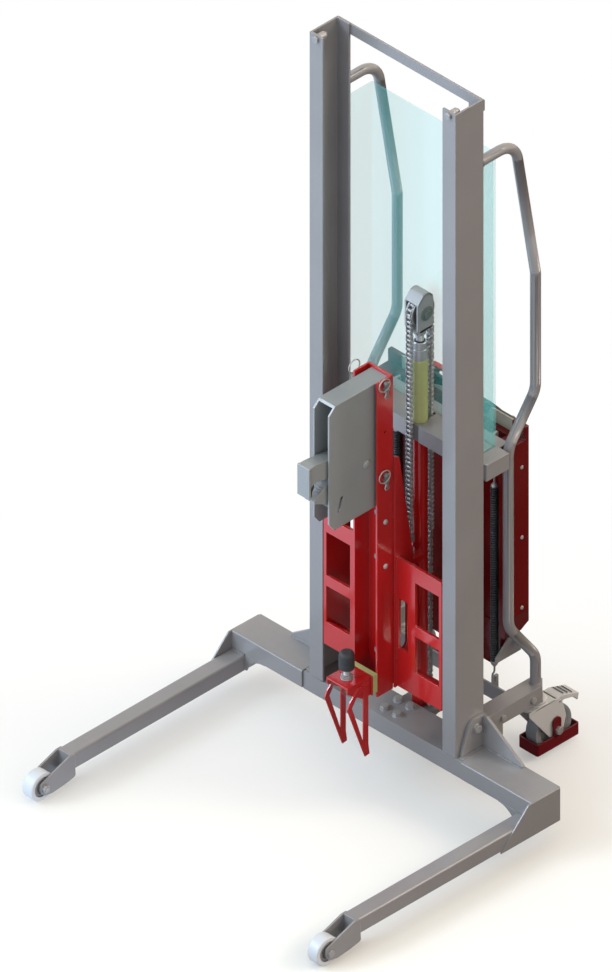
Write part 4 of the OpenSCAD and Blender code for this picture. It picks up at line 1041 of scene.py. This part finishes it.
# ------------------------------------------------------------- pins and clips
s = Shape()
for z in (1103, 843):
    left = -58 if z == 1103 else -50
    s.mat("pin_steel").lathe([(0, left), (5.2, left), (6, left + 1.2), (6, 48), (5.2, 49.6), (0, 49.6)], (0, -31, z), "x", 28)
    s.lathe([(6, -45), (8.6, -45), (9, -44.4), (9, -40.6), (8.6, -40), (6, -40)], (0, -31, z), "x", 32, True)
    # linch pin through the free end, with its spring ring
    m = basis((45.4, -31, z), (0, 0.16, -1))
    s.lathe([(0, 28), (1.6, 27), (3.0, 24), (3.1, -8), (4.6, -11), (6.2, -14), (6.4, -17), (5.2, -20.4), (2.6, -22), (0, -22.4)],
            None, n=20, m=m)
    s.mat("clip_zinc")
    s.ring((50.2, -43, z + 19), "x", 18, 1.5, 36, 8, 0.92, (0, 0.5, 1))
    s.tube([(45.4, -31, z + 17), (48.4, -31, z + 18), (50.2, -29, z + 22), (50.2, -26.6, z + 20)], 1.5, 8)
    s.tube([(50.4, -46, z + 1.5), (50.8, -41, z - 1), (51, -38.6, z - 5), (51, -41, z - 10), (51, -42.6, z - 15), (50.8, -40, z - 20), (50.4, -35.6, z - 22)],
           1.3, 8)
    if z == 1103:
        s.ring((-56.4, -36.6, z + 18), "x", 17.5, 1.6, 36, 8, 1.0)
        s.lathe([(2.0, -57.6), (4.4, -57.6), (4.4, -54.6), (2.0, -54.6)], (0, -31, z + 1), "x", 16, True)
    else:
        s.ring((-48.4, -36, z - 16), "x", 15.5, 1.6, 36, 8, 1.0)
s.mat("zinc")
for z in (330, 596, 722, 820):
    s.hexhead((0, -10, z), "-y", 17, 7, (10, 2), z * 0.7)
s.mat("bolt_dome")
for sg in (-1, 1):
    for z in (596, 722):
        s.lathe([(0, 0), (7, 0), (7.2, 0.6), (6.6, 2.2), (4.6, 3.6), (2.0, 4.2), (0, 4.3)], (sg * 39.5, -30, z), "x" if sg > 0 else "-x", 28)
s.mat("jaw_grey").lathe([(0, -27), (8, -27), (8, 27), (0, 27)], (0, -80, 905), "x", 28)
for sg in (-1, 1):
    s.lathe([(0, 0), (11.6, 0), (12.2, 0.6), (12.0, 1.8), (10.4, 3.6), (7.2, 5.0), (3.4, 5.7), (0, 5.9)], (sg * 27, -80, 905),
            "x" if sg > 0 else "-x", 36)
s.done("pins_and_clips", "carriage", "zinc", ["locking_pins"])

# ------------------------------------------------------------- rest, anchor
s = Shape().mat("black_rubber")
s.lathe([(0, 331), (17.6, 331), (19, 332.4), (19, 345), (18.2, 347), (18.2, 349), (19, 351), (19, 366), (18, 371), (15.6, 375),
         (13, 376.6), (10, 377), (0, 377)], (0, -118, 0), "z", 44)
s.mat("zinc").thread((0, -118, 284), "z", 8, 48, 2.0)
s.hexhead((0, -118, 303), "z", 24, 8, (15, 2), 11)
s.hexhead((0, -118, 297.9), "-z", 24, 9, None, 4)
s.done("rest_buffer", "carriage", "black_rubber", ["rest_bumper"])

s = Shape().mat("zinc")
s.thread((0, FY, 528), "z", 5, 62, 1.5)
s.hexhead((0, FY, 549), "z", 17, 7, None, 8)
s.hexhead((0, FY, 546), "-z", 17, 6, None, 20)
s.box((-9, FY - 7, 588), (9, FY + 7, 600), 1.2)
for x in (-9, 5.2):
    s.prism(rounded([(FY - 7, 598), (FY + 7, 598), (FY + 7, 612), (FY - 7, 612)], [0.5, 0.5, 6, 6], 5), x, x + 3.8, "x", 0.6)
s.lathe([(0, -11), (2.6, -11), (3, -10.6), (3, 10.6), (2.6, 11), (0, 11)], (0, FY, 605), "x", 16)
s.done("chain_end_anchor", "carriage", "zinc", ["chain_anchor"])

# ------------------------------------------------------------- carriage rollers
for i, (sg, z) in enumerate([(-1, 300), (-1, 565), (1, 300), (1, 565)], 1):
    s = Shape().mat("chain_steel")
    s.lathe([(20, 1.2), (37.6, 0.4), (39.1, 1.6), (39.5, 3.4), (39.5, 26.6), (39.1, 28.4), (37.6, 29.6), (31, 29.8), (30, 27.4), (20, 27.4)],
            (201, 46, z), "x", 64, True)
    # a black ring between tyre and hub, painted shade in the gap
    s.mat("dark_gap").lathe([(16.4, 3), (20.2, 3), (20.2, 27), (16.4, 27)], (201, 46, z), "x", 40, True)
    s.mat("zinc").lathe([(10.1, 0.6), (16.4, 0.4), (16.6, 1), (16.6, 29), (16.4, 29.6), (10.1, 29.6)], (201, 46, z), "x", 40, True)
    (s if sg > 0 else s.mirrored()).done("mast_roller_%d" % i, "carriage_roller_%d" % i, "chain_steel", ["carriage_roller_%d" % i])

# ------------------------------------------------------------- console controls
CN = Vector((0, 0.754252, 0.656585))


def console(x, d, h=0.0):
    return Vector((x, 256 + d * 0.6567, 947 - d * 0.7543)) + CN * h


def on_console(x, d):
    return basis(console(x, d), CN, (1, 0, 0))


s = Shape().mat("stop_red")
m = on_console(-120, 55)
s.lathe([(0, 12), (15, 12), (18.4, 13), (19, 15), (19, 20), (17.8, 22.6), (14, 24.4), (8, 25.0), (0, 25.0)], None, n=48, m=m)
for i in range(12):
    a = TAU * i / 12
    s.tube([m @ Vector((18.7 * math.cos(a), 18.7 * math.sin(a), z)) for z in (14.6, 20.4)], 0.9, 6)
s.mat("black_steel").lathe([(0, -12), (7.4, -12), (8, -11.4), (8, 12.4), (0, 12.4)], None, n=28, m=m)
s.done("stop_knob", "stop_button", "stop_red", ["stop_button"])

s = Shape().mat("zinc")
m = on_console(-60, 50)
s.lathe([(0, -14), (6, -14), (6, 0.4), (9.4, 0.5), (10, 1.0), (10, 3.2), (9.2, 4.0), (0, 4.0)], None, n=36, m=m)
s.prism(rounded([(-4, 3), (4, 3), (4, 17), (-4, 17)], 0.6, 2), -1.1, 1.1, "x", 0.3, m=m)
s.mat("black_rubber")
s.prism(rounded([(-11, 16), (11, 16), (11, 34), (-11, 34)], 6, 5), -2.4, 2.4, "x", 0.9, [circle(0, 27.5, 2.6, 14)], m=m)
s.done("key_and_lock", "key_switch", "zinc", ["key_switch"])

for nm, d, mt in (("raise", 35, "button_green"), ("lower", 78, "button_white")):
    s = Shape().mat(mt)
    m = on_console(0, d)
    s.lathe([(0, -10), (9, -10), (9, 3.6), (8.6, 4.8), (7.4, 5.5), (3, 5.1), (0, 5.0)], None, n=36, m=m)
    s.mat("button_white" if nm == "raise" else "black_steel")
    t = 1 if nm == "raise" else -1
    tri = [V2((0.0, 4.2 * t)), V2((-3.6, -2.4 * t)), V2((3.6, -2.4 * t))]
    s.prism(tri, 5.0, 5.5, "z", 0.12, seg=1, m=m)
    s.done(nm + "_key", nm + "_button", mt, [nm + "_button"])

# fixed fittings on the console, hood and tank
s = Shape().mat("black_steel")
m = on_console(-120, 55)
s.lathe([(9.4, 0), (17, 0), (17.6, 0.6), (17.6, 2.2), (14.5, 4.4), (11, 5.0), (9.4, 5.0)], None, n=40, wrap=True, m=m)
s.mat("zinc")
for d in (35, 78):
    m = on_console(0, d)
    s.lathe([(9.4, 0), (12.4, 0), (12.8, 0.5), (12.6, 2.2), (11.4, 3.0), (9.4, 3.0)], None, n=36, wrap=True, m=m)
m = on_console(70, 42)
s.mat("console_black")
s.prism(rounded([(-26, -16), (26, -16), (26, 16), (-26, 16)], 4, 4), 4.0, 5.4, "z", 0.5, [rounded([(-21, -11), (21, -11), (21, 11), (-21, 11)], 2, 3)], m=m)
for i in range(10):
    s.mat("led_red" if i < 2 else ("led_amber" if i < 4 else "led_green"))
    x0 = -18 + i * 3.7
    s.prism(rounded([(x0, -6), (x0 + 2.7, -6), (x0 + 2.7, 6), (x0, 6)], 0.5, 2), 3.0, 3.7, "z", 0.2, seg=1, m=m)
s.mat("zinc")
for x, d in ((-170, 8), (170, 8), (-146, 102), (146, 102), (0, 8), (0, 102)):
    q = on_console(x, d)
    s.lathe([(0, 0), (4.4, 0), (4.4, 0.8), (3.2, 2.0), (1.8, 2.3), (1.4, 1.2), (0, 1.2)], None, n=20, m=q)
s.done("console_fittings", "chassis", "console_black")

s = Shape().mat("zinc")
for sg in (-1, 1):
    for z in (440, 640, 840):
        s.lathe([(0, 0), (5.0, 0), (5.2, 0.5), (4.0, 2.0), (2.2, 2.4), (1.6, 1.3), (0, 1.3)], (sg * 226, 232, z), "x" if sg > 0 else "-x", 22)
    for z in (460, 780):
        s.lathe([(0, 0), (5.0, 0), (5.2, 0.5), (4.0, 2.0), (2.2, 2.4), (1.6, 1.3), (0, 1.3)], (sg * 120, 330, z), "y", 22)
    # threaded stubs that hold the pan
    s.thread((sg * 197, 238, 330), "x" if sg > 0 else "-x", 5, 15, 1.5)
    s.hexhead((sg * 199, 238, 330), "x" if sg > 0 else "-x", 13, 6, None, 6)
s.mat("seam_dark")
s.box((-150, 329.2, 610), (150, 330.5, 612.4), 0.3)
s.done("cover_screws", "chassis", "hood_red")

# rings and welds where the handle tubes meet the frame
s = Shape().mat("weld_grey")
for sg in (-1, 1):
    s.ring((sg * 227.5, 93.2, 1780), "y", 13.4, 1.9, 36, 8)
    s.ring((sg * 227.5, 275.5, 208), "z", 13.4, 2.2, 36, 8)
    s.bead((sg * 214, 171.4, 917), (sg * 214, 171.4, 880), 1.5)
    s.bead((sg * 206, 202, 207.4), (sg * 206, 214, 207.4), 1.5)
    for z in (168, 205):
        s.bead((sg * 204.6, 196, z), (sg * 204.6, 201.6, z), 1.3)
    s.bead((sg * 203, 97.4, 1932), (sg * 236, 97.4, 1932), 1.3)
    s.bead((sg * 200, -0.6, 133.6), (sg * 238, -0.6, 133.6), 1.8)
    s.bead((sg * 237.6, 93, 136), (sg * 237.6, 93, 205), 1.5)
s.done("frame_welds", "chassis", "frame_grey")

s = Shape().mat("weld_red")
for sg in (-1, 1):
    s.bead((sg * 46.8, 1.0, 320), (sg * 46.8, 1.0, 354), 1.8)
    s.bead((sg * 46.9, 8.6, 500), (sg * 46.9, 8.6, 560), 1.8)
    for z in (288.6, 280 - 0.6):
        s.bead((sg * 186, 12, z), (sg * 186, 38, z), 1.5)
    s.bead((sg * 194.6, 1, 250), (sg * 194.6, 1, 600), 0.9, 3.0, 6)
s.done("carriage_welds", "carriage", "carriage_red")

# battery terminals and caps, motor ribs and leads' studs, tank cap
s = Shape()
for x in (-122, -8):
    s.mat("lead_grey").lathe([(0, 620), (9, 620), (9, 624), (8, 634), (7, 635), (0, 635)], (x, 277, 0), "z", 24)
s.mat("battery_case")
for i in range(6):
    s.lathe([(0, 620), (7, 620), (7.4, 621), (7.0, 624.4), (5.2, 625), (0, 624.4)], (-108 + i * 17.2, 262, 0), "z", 24)
s.box((-138, 318, 560), (8, 323, 566), 1.0)
s.done("battery_fittings", "chassis", "battery_case")

s = Shape().mat("pump_grey")
for i in range(16):
    a = TAU * i / 16
    m = Matrix.Translation((90, 277, 0)) @ Matrix.Rotation(a, 4, "Z")
    s.box((39.6, -1.2, 568), (42.6, 1.2, 694), 0.4, m=m)
s.mat("black_rubber").lathe([(0, -9), (16, -9), (17, -8), (17, -1), (15, 0), (0, 0)], (-100, 276, 819), "z", 32)
s.mat("brass").hexhead((130, 277, 530), "x", 14, 6, None, 7)
s.done("pump_fittings", "chassis", "pump_grey")


# ------------------------------------------------------------- stage
def stage():
    bm = bmesh.new()
    s = 14.0
    vs = [bm.verts.new((x * s, y * s, 0)) for x, y in ((-1, -1), (1, -1), (1, 1), (-1, 1))]
    bm.faces.new(vs)
    me = bpy.data.meshes.new("floor")
    bm.to_mesh(me)
    bm.free()
    o = bpy.data.objects.new("floor", me)
    bpy.context.scene.collection.objects.link(o)
    n = Nodes("floor_white")
    # painted shade: distance from a point beside the machine sets where the floor darkens
    away = n.add("ShaderNodeVectorMath", operation="DISTANCE")
    n.link(n.co, away.inputs[0])
    away.inputs[1].default_value = (0.45, -0.45, 0)
    out = n.remap(away.outputs["Value"], 0.55, 1.9, 0, 1)
    soft = n.mix(n.remap(n.noise(0.8, 3, 0.5), 0.3, 0.7, 0, 1), (0.695, 0.685, 0.640), (0.710, 0.700, 0.650))
    n.link(soft, n.bsdf.inputs["Base Color"])
    n.bsdf.inputs["Roughness"].default_value = 0.7
    n.bsdf.inputs["Specular IOR Level"].default_value = 0.1
    # far away it turns into an even white; near a point beside the machine it stays its dimmer lit surface, a painted
    # soft shade pool
    even = n.add("ShaderNodeEmission")
    even.inputs[0].default_value = (1, 1, 1, 1)
    even.inputs[1].default_value = 1.0
    fade = n.add("ShaderNodeMixShader")
    n.link(out, fade.inputs[0])
    n.link(n.bsdf.outputs[0], fade.inputs[1])
    n.link(even.outputs[0], fade.inputs[2])
    # what the floor throws back: cool and bright in front, dim behind on the right
    sep = n.add("ShaderNodeSeparateXYZ")
    n.link(n.co, sep.inputs[0])
    xy = n.math("ADD", sep.outputs[0], sep.outputs[1])
    col = n.ramp(n.remap(xy, -1.3, 1.5, 0, 1), [(0.0, (0.95, 1.12, 1.38)), (0.42, (0.62, 0.62, 0.66)), (0.75, (0.20, 0.15, 0.13)), (1.0, (0.10, 0.07, 0.06))])
    far = n.add("ShaderNodeVectorMath", operation="DISTANCE")
    n.link(n.co, far.inputs[0])
    far.inputs[1].default_value = (0.15, 0.20, 0)
    em = n.add("ShaderNodeEmission")
    n.link(col, em.inputs[0])
    n.link(n.remap(far.outputs["Value"], 0.15, 0.85, 0.30, 1.0), em.inputs[1])
    lp = n.add("ShaderNodeLightPath")
    mx = n.add("ShaderNodeMixShader")
    n.link(lp.outputs["Is Camera Ray"], mx.inputs[0])
    n.link(em.outputs[0], mx.inputs[1])
    n.link(fade.outputs[0], mx.inputs[2])
    n.link(mx.outputs[0], n.out.inputs[0])
    me.materials.append(n.mat)

    w = bpy.data.worlds.new("world")
    bpy.context.scene.world = w
    w.use_nodes = True
    t = w.node_tree
    t.nodes.clear()
    out = t.nodes.new("ShaderNodeOutputWorld")
    seen = t.nodes.new("ShaderNodeBackground")
    seen.inputs[0].default_value = (1, 1, 1, 1)
    seen.inputs[1].default_value = 1.0
    fill = t.nodes.new("ShaderNodeBackground")
    tc = t.nodes.new("ShaderNodeTexCoord")

    def along(axis, lo, hi, a, b):
        d = t.nodes.new("ShaderNodeVectorMath")
        d.operation = "DOT_PRODUCT"
        d.inputs[1].default_value = axis
        t.links.new(tc.outputs["Generated"], d.inputs[0])
        m = t.nodes.new("ShaderNodeMapRange")
        for i, x in zip((1, 2, 3, 4), (lo, hi, a, b)):
            m.inputs[i].default_value = x
        t.links.new(d.outputs["Value"], m.inputs[0])
        return m.outputs[0]

    mix = t.nodes.new("ShaderNodeMix")
    mix.data_type = "RGBA"
    mix.inputs[6].default_value = (1.24, 1.09, 0.96, 1)
    mix.inputs[7].default_value = (0.98, 1.16, 1.42, 1)
    t.links.new(along((-0.4, -0.9, 0), -0.25, 0.75, 0, 1), mix.inputs[0])
    t.links.new(mix.outputs[2], fill.inputs[0])
    st = t.nodes.new("ShaderNodeMath")
    st.operation = "MULTIPLY"
    t.links.new(along((0, 0, 1), 0.0, 0.9, 1.30, 0.60), st.inputs[0])
    t.links.new(along((-0.7, 0.7, 0), 0.1, 0.8, 1.0, 0.95), st.inputs[1])
    # two narrow strips that draw the light lines along the edges
    tot = st
    for axis in ((0.577, 0.577, 0.577), (-0.577, -0.577, 0.577)):
        ad = t.nodes.new("ShaderNodeMath")
        ad.operation = "ADD"
        t.links.new(tot.outputs[0], ad.inputs[0])
        t.links.new(along(axis, 0.972, 0.992, 0.0, 9.0), ad.inputs[1])
        tot = ad
    t.links.new(tot.outputs[0], fill.inputs[1])
    lp = t.nodes.new("ShaderNodeLightPath")
    mx = t.nodes.new("ShaderNodeMixShader")
    t.links.new(lp.outputs["Is Camera Ray"], mx.inputs[0])
    t.links.new(fill.outputs[0], mx.inputs[1])
    t.links.new(seen.outputs[0], mx.inputs[2])
    t.links.new(mx.outputs[0], out.inputs[0])

    def area(name, loc, target, size, watts, colour):
        l = bpy.data.lights.new(name, "AREA")
        l.shape = "RECTANGLE"
        l.size, l.size_y = size
        l.energy = watts
        l.color = colour
        o = bpy.data.objects.new(name, l)
        bpy.context.scene.collection.objects.link(o)
        o.location = loc
        d = Vector(target) - Vector(loc)
        o.rotation_mode = "QUATERNION"
        o.rotation_quaternion = d.to_track_quat("-Z", "Y")

    area("key_front", (-1.5, -5.0, 2.6), (0, 0, 0.9), (4.0, 3.5), 150, (0.82, 0.92, 1.0))
    area("side_warm", (5.0, 0.5, 2.2), (0, 0, 0.9), (3.0, 3.0), 25, (1.0, 0.86, 0.78))
    area("top_soft", (-0.5, 0.5, 5.5), (0, 0, 0.5), (5.0, 5.0), 66, (0.93, 1.0, 0.97))


stage()
